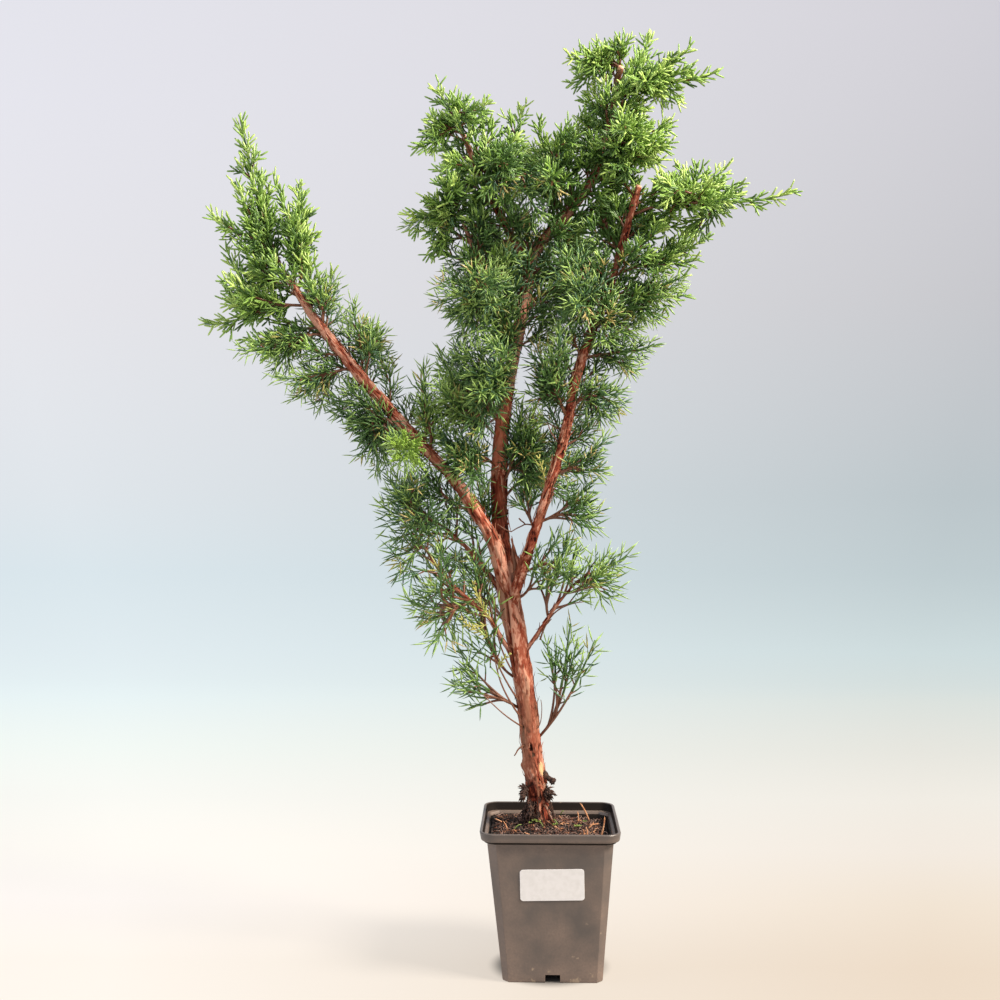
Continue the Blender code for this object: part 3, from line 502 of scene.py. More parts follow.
def leader_line(start, direction, tip):
    """A cubic Bezier curve that leaves along a direction and turns up a little towards its tip."""
    shares = np.linspace(0, 1, LINE_STEPS + 1)[:, None]
    handle = np.linalg.norm(tip - start) * HANDLE_SHARE
    arrive = unit(unit(tip - start) + TIP_LIFT * UP)
    first, second = start + direction * handle, tip - arrive * handle
    rest = 1 - shares
    return rest**3 * start + 3 * rest**2 * shares * first + 3 * rest * shares**2 * second + shares**3 * tip


def stem_foot(limb, share, ends):
    """Where a stem leaves the bark, just inside it, and its first way: outwards and on along the limb."""
    line = limb_lines[limb]
    if share == 1.0:
        onward = unit(line[-1, :3] - line[-2, :3])
        return line[-1, :3] - onward * STEM_SINK, onward
    lengths = np.r_[0, np.cumsum(np.linalg.norm(np.diff(line[:, :3], axis=0), axis=1))]
    rows = np.hstack([line, np.gradient(line[:, :3], axis=0)])
    row = np.array([np.interp(share * lengths[-1], lengths, column) for column in rows.T])
    tangent = unit(row[4:])
    aim = ends.mean(axis=0) - row[:3]
    outwards = unit(aim - tangent * (aim @ tangent))
    return row[:3] + outwards * (row[3] - STEM_SINK), unit(outwards + STEM_FOLLOWS_LIMB * tangent)


def leaders_of(limb, share, tips):
    """The stem that runs on to the first tip, and a leader that forks from it to each other tip."""
    ends = np.array([tip[:3] for tip in tips], float)
    stem = leader_line(*stem_foot(limb, share, ends), ends[0])
    lines = [stem]
    for number, end in enumerate(ends[1:]):
        place = round((FIRST_FORK + FORK_STEP * number) * LINE_STEPS)
        onward = unit(stem[place + 1] - stem[place])
        lines.append(leader_line(stem[place], unit(onward + unit(end - stem[place])), end))
    return lines


grown_masses = {**MASSES, **FILLING}
leader_lines = np.concatenate([leaders_of(*mass) for mass in grown_masses.values()])
leader_widths = np.array([tip[3] for _, _, tips in grown_masses.values() for tip in tips], float)
print("leaders", leader_lines.shape, "widest", leader_widths.max())

# %% [markdown]
# All finer growth uses one step: lines that sprout from their parents, a spacing apart, turned round them
# by the golden angle, so that no two in a row shade each other. Nothing grows into the wood of a limb.

# %% Growth: finer generations
GOLDEN_ANGLE = math.radians(137.5)
dice = np.random.default_rng(7)


def spread(count, low, high):
    """Random numbers between two bounds, from the one seeded source."""
    return dice.uniform(low, high, count)


def at_share(lines, shares):
    """The point and tangent of each line at its share of the way."""
    place = shares * (lines.shape[1] - 1)
    index = np.clip(place.astype(int), 0, lines.shape[1] - 2)
    rows = np.arange(len(lines))
    step = lines[rows, index + 1] - lines[rows, index]
    return lines[rows, index] + step * (place - index)[:, None], unit(step)


def line_length(lines):
    """The sum of the distances between a line's points, for each line."""
    return np.linalg.norm(np.diff(lines, axis=1), axis=2).sum(1)


def sprout(parents, shares, phases, angles, lengths, bend, lift, steps):
    """Lines that leave their parents.

    Each starts at its share of the parent, along cos(angle) * tangent + sin(angle) * out, where out lies
    round the parent by the phase, and is a quadratic curve that bends back by bend and up by lift.
    """
    starts, tangents = at_share(parents, shares)
    first, second = cross_frame(tangents, guide_for(parents[:, -1] - parents[:, 0]))
    out = np.cos(phases)[:, None] * first + np.sin(phases)[:, None] * second
    leave = unit(np.cos(angles)[:, None] * tangents + np.sin(angles)[:, None] * out)
    arrive = unit(leave + bend * tangents + lift * UP)
    middle = starts + leave * lengths[:, None] / 2
    ends = middle + arrive * lengths[:, None] / 2
    t = np.linspace(0, 1, steps)[None, :, None]
    return (1 - t) ** 2 * starts[:, None] + 2 * t * (1 - t) * middle[:, None] + t**2 * ends[:, None]


def along(lines, spacing, first_share, last_share):
    """For lines set with sprouts about a spacing apart: each sprout's line, its number there and its share.

    The spacing and the share where the sprouts begin are one number, or one for each line.
    """
    room = last_share - np.broadcast_to(first_share, len(lines))
    counts = np.maximum(1, np.round(line_length(lines) * room / spacing)).astype(int)
    parent = np.repeat(np.arange(len(lines)), counts)
    number = np.arange(len(parent)) - np.repeat(np.cumsum(counts) - counts, counts)
    jitter = spread(len(parent), 0.25, 0.75)
    share = last_share - room[parent] * (1 - (number + jitter) / counts[parent])
    return parent, number, share


def clear_of_limbs(lines, past=0.35, room=1.0):
    """Whether each line keeps clear of every limb past a share of its way."""
    checked = lines[:, round(past * (lines.shape[1] - 1)) :]
    clear = np.ones(len(lines), bool)
    for line in limb_lines.values():
        for row in line:
            clear &= ((checked - row[:3]) ** 2).sum(-1).min(1) > (row[3] + room) ** 2
    return clear


def openness(lines):
    """1 low on the tree, where shade has bared the older wood, and 0 from the middle of the tree up."""
    return 1 - smooth_step(lines[:, -1, 2], OPEN_BELOW, FULL_ABOVE)


def envelope(share):
    """The share of a leader's half-width along its length, the source's: widest in the middle."""
    return 0.45 + 0.55 * np.sin(math.pi * (0.12 + 0.86 * share))


print("sprouts on the first leader", len(along(leader_lines[:1], 3.2, 0.2, 1.0)[0]))

# %% [markdown]
# The solid model has only as many leaders as its triangles allow. Here each mass also gets a leader between
# every two of its tips, the limbs send out shoots of their own, and all of them send out side leaders. What
# would run into a limb isn't grown. The bare wood near the camera stays bare, as on the real tree.

# %% More leaders, shoots from the limbs and side leaders
BETWEEN_REACH = 0.86
SHOOT_SPACING = 6.0
SHOOT_WIDTH = 13.0
FRONT = -0.25
COVERED = {"trunk": (470, 800), "right_bough": (485, 560), "left_bough": (535, 800)}
EVERYWHERE = (0, 800)
SIDE_SPACING = 10.0
SIDE_REACH = 1.6
SIDE_NARROWER = 0.75
BARE_UP_TO = {
    "trunk": 0.6,
    "left_bough": 0.4,
    "right_bough": 0.36,
    "upper_left_bough": 0.15,
    "left_mid_bough": 0.1,
    "lower_left_bough": 0.2,
    "low_left_bough": 0.25,
    "low_right_bough": 0.55,
    "centre_right_bough": 0.2,
    "back_high_bough": 0.2,
    "back_low_bough": 0.2,
}


def leaders_between(limb, share, tips):
    """A leader between every two neighbouring tips of a mass, a little shorter than they are."""
    ends = np.array(tips, float)
    foot = stem_foot(limb, share, ends[:, :3])[0]
    means = (ends + np.roll(ends, -1, axis=0)) / 2
    means[:, :3] = foot + BETWEEN_REACH * (means[:, :3] - foot)
    means = means[: len(tips) - (len(tips) == 2)]
    return leaders_of(limb, share, means), means[:, 3]


def even_line(rows, steps=LINE_STEPS):
    """A limb's rows spread evenly, as many as a leader has."""
    place = np.linspace(0, len(rows) - 1, steps + 1)
    return np.stack([np.interp(place, np.arange(len(rows)), column) for column in rows.T], 1)


between = [leaders_between(*mass) for mass in MASSES.values() if len(mass[2]) > 1]
between_lines = np.concatenate([lines for lines, _ in between])
between_widths = np.concatenate([widths for _, widths in between])

even_limbs = np.stack([even_line(limb_lines[name]) for name in BARE_UP_TO])
limb, number, share = along(even_limbs[..., :3], SHOOT_SPACING, 0.0, 1.0)
grown = share > np.array(list(BARE_UP_TO.values()))[limb]
limb, number, share = limb[grown], number[grown], share[grown]
radius = even_limbs[limb, (share * LINE_STEPS).astype(int), 3]
shoot_lines = sprout(
    even_limbs[limb, :, :3],
    share,
    GOLDEN_ANGLE * number,
    np.radians(spread(len(limb), 40, 60)),
    1.4 * radius + spread(len(limb), 20, 42),
    0.4,
    0.15,
    LINE_STEPS + 1,
)
behind = unit(shoot_lines[:, -1] - shoot_lines[:, 0])[:, 1] > FRONT
covered = np.array([COVERED.get(name, EVERYWHERE) for name in BARE_UP_TO])[limb]
behind |= (shoot_lines[:, 0, 2] > covered[:, 0]) & (shoot_lines[:, 0, 2] < covered[:, 1])
shoot_lines = shoot_lines[behind & clear_of_limbs(shoot_lines, 0.4)]

every_leader = np.concatenate([leader_lines, between_lines, shoot_lines])
every_width = np.r_[leader_widths, between_widths, np.full(len(shoot_lines), SHOOT_WIDTH)]
leader_open = openness(every_leader)
parent, number, share = along(every_leader, SIDE_SPACING, 0.12 + 0.2 * leader_open, 0.72)
side_lines = sprout(
    every_leader[parent],
    share,
    GOLDEN_ANGLE * number + 2.2 * parent,
    np.radians(spread(len(parent), 38, 52)),
    SIDE_REACH * every_width[parent] * spread(len(parent), 0.75, 1.15) * (1 - 0.4 * share),
    0.35,
    0.12,
    9,
)
kept = clear_of_limbs(side_lines)
side_lines, side_widths = side_lines[kept], SIDE_NARROWER * every_width[parent[kept]]
print("leaders", len(every_leader), "limb shoots", len(shoot_lines), "side leaders", len(side_lines))

# %% [markdown]
# The last generation carries the leaves. Twigs stand closest and reach furthest on the strong leaders, and
# only on the outer half low on the tree, where shade has bared the older wood.

# %% Twigs along all of them
TWIG_SPACING, OPEN_TWIG_SPACING = 3.3, 5.2
TWIG_REACH = 1.0
TIP_CLEARS = 5.0
TWIGS_FROM, OPEN_TWIGS_FROM = 0.12, 0.56

even = np.linspace(0, LINE_STEPS, 9).astype(int)
bearers = np.concatenate([every_leader[:, even], side_lines])
bearer_widths = np.r_[every_width, side_widths]

bearer_open = openness(bearers)
twig_spacing = TWIG_SPACING + (OPEN_TWIG_SPACING - TWIG_SPACING) * bearer_open
twigs_from = TWIGS_FROM + (OPEN_TWIGS_FROM - TWIGS_FROM) * bearer_open
parent, number, share = along(bearers, twig_spacing, twigs_from, 0.97)
left = (1 - share) * line_length(bearers)[parent] + TIP_CLEARS
twig_lines = sprout(
    bearers[parent],
    share,
    GOLDEN_ANGLE * number + 1.7 * parent,
    np.radians(52 - 22 * share + spread(len(parent), -6, 6)),
    np.minimum(TWIG_REACH * bearer_widths[parent] * envelope(share), left) * spread(len(parent), 0.8, 1.12),
    0.3,
    0.1,
    4,
)
kept = clear_of_limbs(twig_lines)
twig_lines, twig_share = twig_lines[kept], share[kept]
print("twigs", len(twig_lines))

# %% [markdown]
# A juniper carries two kinds of leaf. In its shade they are fine needles round the twig. Where it grows
# strongly, scale leaves hug the twig, and the sprays look like knotted green cord. Both are drawn as short
# spindles that leave their twig all round, slim and pointed for needles, stout and blunt for cord.

# %% Needles and cords on each twig
CORD_FROM, CORD_TO = 560.0, 690.0
CORD_SIDE = 0.55
TRUNK_AXIS_X = -20.0

twig_ends = twig_lines[:, -1]
sunny = twig_ends[:, 2] + CORD_SIDE * np.abs(twig_ends[:, 0] - TRUNK_AXIS_X)
sunny += 40 * (twig_share - 0.5)
cord_chance = smooth_step(sunny, CORD_FROM, CORD_TO)
spray_noise = 0.5 + 0.5 * noise(twig_ends, 24.0, 3)
is_cord = spray_noise < cord_chance

NEEDLE_SPACING, OPEN_NEEDLE_SPACING = 1.85, 2.3
NEEDLE_LENGTHS = (10.0, 16.0)
OPEN_LONGER, OPEN_STOUTER = 1.35, 1.15
SAWN_LIMBS = ("trunk", "right_bough", "upper_left_bough")
END_IN_VIEW = 4.2
SAWN_STUB = ((52.5, 3.0, 709.0), (54.5, -2.0, 718.5), (57.2, -7.0, 726.2))
kept_in_view = np.array([limb_lines[name][-1, :3] for name in SAWN_LIMBS] + list(SAWN_STUB[1:]))
CORD_SPACING = 2.4
CORD_LENGTHS = (8.0, 13.5)


def spindles(lines, widths, sides):
    """Closed bodies, pointed at both ends: a ring at each inner point, closed by a line's first and last."""
    tangents = unit(lines[:, 2:] - lines[:, :-2])
    points, faces = tubes(lines[:, 1:-1], widths, sides, tangents=tangents)
    inner = lines.shape[1] - 2
    points = points.reshape(len(lines), inner * sides + 2, 3)
    points[:, -2:] = lines[:, [0, -1]]
    return points.reshape(-1, 3), faces


def blunt(lines):
    """The same lines with the inner points moved halfway to the nearest end, for a body with blunt ends."""
    moved = lines.copy()
    moved[:, 1] += 0.5 * (lines[:, 0] - lines[:, 1])
    moved[:, 2] += 0.5 * (lines[:, 3] - lines[:, 2])
    return moved


def needles_on(chosen):
    """Needles all round the chosen twigs, leaning forward more and getting shorter towards each tip."""
    lines = twig_lines[chosen]
    bare = openness(lines)
    spacing = NEEDLE_SPACING + (OPEN_NEEDLE_SPACING - NEEDLE_SPACING) * bare
    owner, number, share = along(lines, spacing, 0.1, 1.0)
    lengths = spread(len(owner), *NEEDLE_LENGTHS) * (1 - 0.3 * share) * (1 + (OPEN_LONGER - 1) * bare[owner])
    angles = np.radians(50 - 26 * share + spread(len(owner), -8, 8))
    grown = sprout(lines[owner], share, GOLDEN_ANGLE * number + 0.9 * owner, angles, lengths, 0.18, 0.04, 4)
    return grown, chosen[owner], share


def cords_on(chosen):
    """Short blunt branchlets on the chosen twigs, on either side in turn, a little out of one plane."""
    lines = twig_lines[chosen]
    owner, number, share = along(lines, CORD_SPACING, 0.12, 1.0)
    lengths = spread(len(owner), *CORD_LENGTHS) * (1 - 0.4 * share)
    angles = np.radians(42 - 20 * share + spread(len(owner), -5, 5))
    phases = math.pi * number + 1.3 * owner + spread(len(owner), -0.5, 0.5)
    grown = sprout(lines[owner], share, phases, angles, lengths, 0.35, 0.05, 4)
    grown = np.concatenate([grown, lines])
    return blunt(grown), np.r_[chosen[owner], chosen], np.r_[share, np.full(len(chosen), 0.5)]


def clear_of_ends(lines):
    """Whether each line leaves the sawn ends in view: no point of it close in front of one."""
    points = lines[:, :, None]
    away = np.hypot(points[..., 0] - kept_in_view[:, 0], points[..., 2] - kept_in_view[:, 2])
    return ~((away < END_IN_VIEW) & (points[..., 1] < kept_in_view[:, 1] + 2)).any(axis=(1, 2))


def shown(lines, twig, share):
    """The leaves that are clear of the sawn ends, on twigs that are clear of them too."""
    kept = clear_of_ends(lines) & clear_twigs[twig]
    return lines[kept], twig[kept], share[kept]


clear_twigs = clear_of_ends(twig_lines)
needle_lines, needle_twig, needle_share = shown(*needles_on(np.flatnonzero(~is_cord)))
cord_lines, cord_twig, cord_share = shown(*cords_on(np.flatnonzero(is_cord)))
print("needles", len(needle_lines), "branchlets", len(cord_lines))
print("kept in view", kept_in_view.round(1))

# %% [markdown]
# The colours keep the tree's light and shade: deep green inside and low down, yellow-green at the sunny
# tips, and a few dry sprays. Each spray is dealt one plain colour, so the pieces are split by colour.

# %% Foliage colours and pieces
TINTS = {
    "needle_deep": "#26411f",
    "needle_mid": "#4f7238",
    "needle_blue": "#587c5a",
    "needle_light": "#8cab59",
    "needle_olive": "#97934e",
    "needle_dry": "#b5a468",
    "cord_deep": "#4f7033",
    "cord_mid": "#7c9f47",
    "cord_light": "#a6c265",
    "cord_tip": "#c2d688",
}
# Places of fresh growth, and of light and shade painted on the growth's front: x, z, reach and what it adds
# to lightness.
FRESH_GROWTH_PAINTED_LIGHT_AND_SHADE = (
    (-109, 421, 19, 0.9),
    (-43, 563, 15, 0.4),
    (-81, 488, 14, 0.7),
    (-86, 452, 22, 0.35),
    (-14, 440, 14, 0.3),
    (-58, 282, 16, 0.3),
    (0, 600, 85, -0.2),
    (-85, 330, 45, -0.12),
    (38, 305, 45, 0.14),
)
MOST_TRIANGLES = 190000
NEEDLE_RADIUS = 0.59
CORD_RADIUS = 0.86
NEEDLE_MIX = 0.13
MID_ABOVE, LIGHT_ABOVE = 0.25, 0.53
CORD_MID_ABOVE, CORD_LIGHT_ABOVE, CORD_TIP_FROM = 0.52, 0.78, 0.9
OLIVE_BELOW, DRY_ABOVE, BLUE_ABOVE = 0.04, 0.985, 0.6
names = list(TINTS)
DEEP, MID, BLUE, LIGHT, OLIVE, DRY, CORD_DEEP, CORD_MID, CORD_LIGHT, CORD_TIP = range(len(names))

# %% [markdown]
# A spray's lightness comes from its height, how far out it stands and its luck, and is partly painted
# light: lighter high up and far out, with painted light in some places and painted shade in others. Steps
# of that lightness give its colour, and each colour is one piece, or two where it has too many triangles
# for one.

# %% Leaves dealt out by colour
def leaf_material(name, hex_colour):
    """Waxy leaf: a plain colour and a soft gloss."""
    material = bpy.data.materials.new(name)
    material.use_nodes = True
    shader = material.node_tree.nodes["Principled BSDF"]
    shader.inputs["Base Color"].default_value = linear(hex_colour)
    shader.inputs["Roughness"].default_value = 0.42
    shader.inputs["Specular IOR Level"].default_value = 0.5
    return material


def put_leaves(name, lines, widths, sides, material):
    """The spindles of one colour as pieces under the triangle limit."""
    each = len(tube_faces(lines.shape[1] - 2, sides))
    parts = math.ceil(len(lines) * each / MOST_TRIANGLES)
    for part in range(parts):
        chosen = slice(part, None, parts)
        piece = put_mesh(name + "_%d" % (part + 1), *spindles(lines[chosen], widths[chosen], sides))
        keep(piece, material, "foliage")


leaf_materials = {name: leaf_material(name + "_leaf", tint) for name, tint in TINTS.items()}
twig_luck = spread(len(twig_lines), 0, 1)
# Height and reach out from the trunk make a spray lighter, partly as painted light.
lightness = 0.06 + 0.34 * smooth_step(sunny, 340, 720) + 0.12 * openness(twig_lines) + 0.44 * twig_share
lightness += 0.35 * (twig_luck - 0.5) + 0.3 * (spray_noise - 0.5)
for x, z, reach, lift in FRESH_GROWTH_PAINTED_LIGHT_AND_SHADE:
    away = np.hypot(twig_ends[:, 0] - x, twig_ends[:, 2] - z) / reach
    lightness += lift * (1 - smooth_step(away, 0.7, 1.2)) * (twig_ends[:, 1] < 0)
needle_light = lightness[needle_twig] + 0.25 * (needle_share - 0.5)
needle_light += spread(len(needle_light), -NEEDLE_MIX, NEEDLE_MIX)
needle_luck = twig_luck[needle_twig]
steps = [needle_luck > DRY_ABOVE, needle_luck < OLIVE_BELOW]
steps += [needle_light > LIGHT_ABOVE, needle_light > MID_ABOVE]
needle_kind = np.select(steps, [DRY, OLIVE, LIGHT, MID], DEEP)
bluish = (needle_kind == MID) & (spray_noise[needle_twig] > BLUE_ABOVE)
needle_kind = np.where(bluish, BLUE, needle_kind)
cord_steps = [lightness > CORD_LIGHT_ABOVE, lightness > CORD_MID_ABOVE]
cord_kind = np.select(cord_steps, [CORD_LIGHT, CORD_MID], CORD_DEEP)[cord_twig]
cord_kind = np.where(cord_share > CORD_TIP_FROM, np.minimum(cord_kind + 1, CORD_TIP), cord_kind)
for kind in range(CORD_DEEP):
    chosen = needle_kind == kind
    stout = 1 + (OPEN_STOUTER - 1) * openness(needle_lines[chosen])
    widths = NEEDLE_RADIUS * np.array([1.0, 0.8]) * (stout * spread(chosen.sum(), 0.85, 1.15))[:, None]
    put_leaves(names[kind], needle_lines[chosen], widths, 3, leaf_materials[names[kind]])
for kind in range(CORD_DEEP, len(names)):
    chosen = cord_kind == kind
    widths = CORD_RADIUS * np.array([1.0, 0.85]) * spread(chosen.sum(), 0.85, 1.15)[:, None]
    put_leaves(names[kind], cord_lines[chosen], widths, 3, leaf_materials[names[kind]])

# %% [markdown]
# The wood itself is slim: brown where it is older, and green as the leaves on its last stretch. It is the
# same spindles with more rings, so all of it goes into two pieces, and the brown one stands for the masses.

# %% Twigs and leaders
def stems(lines, foot_width, tip_width, sides):
    """Closed tapering stems along the lines."""
    whole = np.concatenate([lines[:, :1], lines, lines[:, -1:]], axis=1)
    widths = np.linspace(0, 1, lines.shape[1])[None] * (tip_width - foot_width) + foot_width
    return spindles(whole, np.broadcast_to(widths, lines.shape[:2]), sides)


brown = LINE_STEPS // 2
wood = joined(
    [
        stems(every_leader[:, : brown + 1 : 4], 1.2, 0.85, 5),
        stems(side_lines[:, :6], 0.75, 0.55, 3),
    ]
)
green = joined(
    [
        stems(every_leader[:, brown::4], 1.0, 0.6, 4),
        stems(side_lines[:, 4:], 0.7, 0.45, 3),
        spindles(twig_lines[clear_twigs], np.full((clear_twigs.sum(), 2), 0.45), 3),
    ]
)
twig_bark = leaf_material("twig_bark", "#6f4631")
keep(put_mesh("twig_wood", *wood), twig_bark, "bark", *MASSES)
keep(put_mesh("twig_green", *green), leaf_materials["needle_mid"], "foliage")

# %% [markdown]
# Juniper bark is a coat of long fibres that splits lengthwise and peels off in strips. It could be a bump
# map on a smooth limb, but its torn edge shows against the sky. So each limb is a fine tube whose radius
# follows noise drawn out along the grain, and the strips that have come loose are ribbons of their own.

# %% Bark surface
BARK_STEP = 1.3
BARK_ARC = 0.6
FEWEST_SIDES = 22
CLEFT_HEIGHTS = (244.0, 257.0, 297.0, 316.0)
CLEFT_ANGLES = (2.3, 2.4, 2.85, 2.95)
CLEFT_DEPTH = 2.4
CLEFT_WIDTH = 1.1
FULL_RELIEF_RADIUS = 7.0
SLIM = 0.8
SLIM_BELOW, FULL_FROM = 2.8, 3.6
FOOT_HEIGHTS, FOOT_RADII = (115.0, 134.0, 150.0), (8.8, 8.4, 8.5)
ROOT_END = (-2.0, 6.0, 108.5, 9.0)
FOOT_ASIDE, ASIDE_BELOW = -3.4, (118.0, 146.0)
RAGGED_BELOW, QUIET_FROM = 150.0, 172.0
QUIET = 0.45
# Each patch: its height, angle, half-height and half-width, and what it adds to tone, shade and relief.
# The dark patches that sink in are painted shade in their hollows, and the one that adds light with no tone
# is a painted highlight.
PATCHES = (
    (159.0, 3.87, 5.5, 2.4, 2.6, 2.2, 0.5),
    (178.0, 3.1, 3.6, 1.8, -0.8, -2.6, -0.7),
    (171.5, 3.3, 1.6, 1.5, 0.0, -2.4, -0.6),
    (141.0, 3.9, 6.0, 1.3, 0.9, 1.9, 0.5),
    (150.0, 3.6, 3.5, 1.0, -0.4, -2.2, -0.6),
    (228.0, 3.5, 9.0, 1.4, 0.9, 1.6, 0.4),
    (196.0, 2.5, 8.0, 1.0, 0.0, -2.0, -0.5),
    (328.0, 4.35, 13.0, 2.4, -0.6, -2.4, -0.6),
    (349.0, 4.6, 22.0, 6.0, -0.2, -0.8, -1.8),
    (442.0, 3.5, 2.2, 1.6, -0.5, -2.6, -0.5),
    (431.0, 2.6, 4.0, 1.8, -0.5, -2.4, -0.5),
    (452.0, 4.1, 7.0, 0.8, 0.0, 1.8, 0.4),
)
# The knob: its height, angle, half-height, half-width and rise.
KNOB = (162.0, 1.65, 4.6, 4.0, 2.6)
# How much painted light each limb's bark gets at some heights, and painted shade where it is below zero.
BARK_PAINTED_LIGHT_AND_SHADE = {
    "trunk": (
        (115.0, 136.0, 150.0, 165.0, 190.0, 270.0, 300.0, 330.0),
        (-1.6, -0.9, -0.3, 0.3, -0.5, 0.6, 1.9, 1.6),
    ),
    "left_bough": ((320.0, 420.0, 490.0, 550.0), (0.9, 0.2, 0.6, 1.4)),
    "right_bough": ((330.0, 360.0, 600.0), (0.0, -0.6, -0.8)),
}
# Stretches of the trunk: from the first height to the second they come in, from the third they go out.
TANNED = (138.0, 158.0, 206.0, 244.0)
TANNED_TONE = 0.45
LUMPY_BELOW = (142.0, 156.0)
CALM = (399.0, 406.0, 462.0, 476.0)
# The calm stretch's own shade, the painted shade on its flanks, and its fresh red tone, partly painted
# light.
CALM_SHADE, PAINTED_FLANK_SHADE, FRESH_RED_AND_PAINTED_LIGHT_TONE = -0.1, -2.0, 2.0
# The stretch below the calm one is darkened as painted shade.
PAINTED_SHADE_STRETCH = (322.0, 336.0, 395.0, 403.0)
PAINTED_SHADE_DEPTH = -2.6
SHORT_FLAKES = {"right_bough": 1.8}
GRAIN_BEND = 1.6

# %% [markdown]
# First the limb's own rows, with the trunk's foot set right, and then the relief as a function of the place
# on the limb: how far along it, and how far round it.

# %% Relief along the grain
def limb_frames(name, step):
    """Rows, tangents and both cross directions along a limb. The first looks away from the camera."""
    rows = smooth_rows(LIMBS[name], step)
    rows[:, 3] *= SLIM + (1 - SLIM) * smooth_step(rows[:, 3].max(), SLIM_BELOW, FULL_FROM)
    if name == "trunk":
        rows[:, 3] = np.minimum(rows[:, 3], np.interp(rows[:, 2], FOOT_HEIGHTS, FOOT_RADII))
        rows = np.concatenate([[ROOT_END], rows])
        rows[:, 0] += FOOT_ASIDE * (1 - smooth_step(rows[:, 2], *ASIDE_BELOW))
    tangents = unit(np.gradient(rows[:, :3], axis=0))
    return rows, tangents, *cross_frame(tangents, guide_for(rows[-1, :3] - rows[0, :3]))


def bark_relief(place, seed):
    """Height of the bark in millimetres and its tone, from the place on the limb laid out along its grain.

    Fibres and finer fibres are noise drawn out along the limb. A cut in broad noise makes the layers, one
    strip higher than the next, and the narrow band round zero of another noise makes the splits. The third
    number, the shade, is darker in the splits and breaks, which is painted shade.
    """
    aside = [noise(place, 11.0, seed + 8), noise(place, 11.0, seed + 9), 0 * place[..., 2]]
    bent = place + np.stack(aside, -1) * GRAIN_BEND
    fibres = noise(bent, (2.3, 2.3, 11.0), seed)
    hairs = noise(bent, (0.95, 0.95, 4.0), seed + 1)
    lumps = noise(place, (8.0, 8.0, 16.0), seed + 2)
    layers = smooth_step(noise(bent, (4.2, 4.2, 11.0), seed + 3), -0.05, 0.05)
    layers = layers + smooth_step(noise(bent, (3.0, 3.0, 7.0), seed + 4), 0.05, 0.14)
    splits = 1 - smooth_step(np.abs(noise(bent, (3.4, 3.4, 16.0), seed + 5)), 0.0, 0.12)
    breaks = smooth_step(noise(place, (2.8, 2.8, 3.6), seed + 10), 0.42, 0.62)
    height = 0.4 * fibres + 0.25 * hairs + 0.85 * lumps + 0.6 * layers - 0.7 * splits - 0.6 * breaks - 0.4
    tone = 0.45 * noise(bent, (3.0, 3.0, 26.0), seed + 6) + 0.7 * noise(place, (10.0, 10.0, 24.0), seed + 7)
    return height, tone, layers - 1.4 * splits - 1.1 * breaks + 0.6 * fibres + 0.6 * hairs

# %% [markdown]
# The relief is added to the radius of every ring. The trunk's own marks come on top: a split, darkened in
# its groove as painted shade, a knob, bared patches, sunken patches darkened as painted shade, and stretches
# where the bark lies calm, is tanned or is darkened as painted shade. The calm stretch's fresh red is partly
# painted light, and its flanks are darkened as painted shade.

# %% Bark tubes
def stretch(z, low, full, full_to, high):
    """1 between two heights, and fading to 0 at two heights outside them."""
    return smooth_step(z, low, full) * (1 - smooth_step(z, full_to, high))


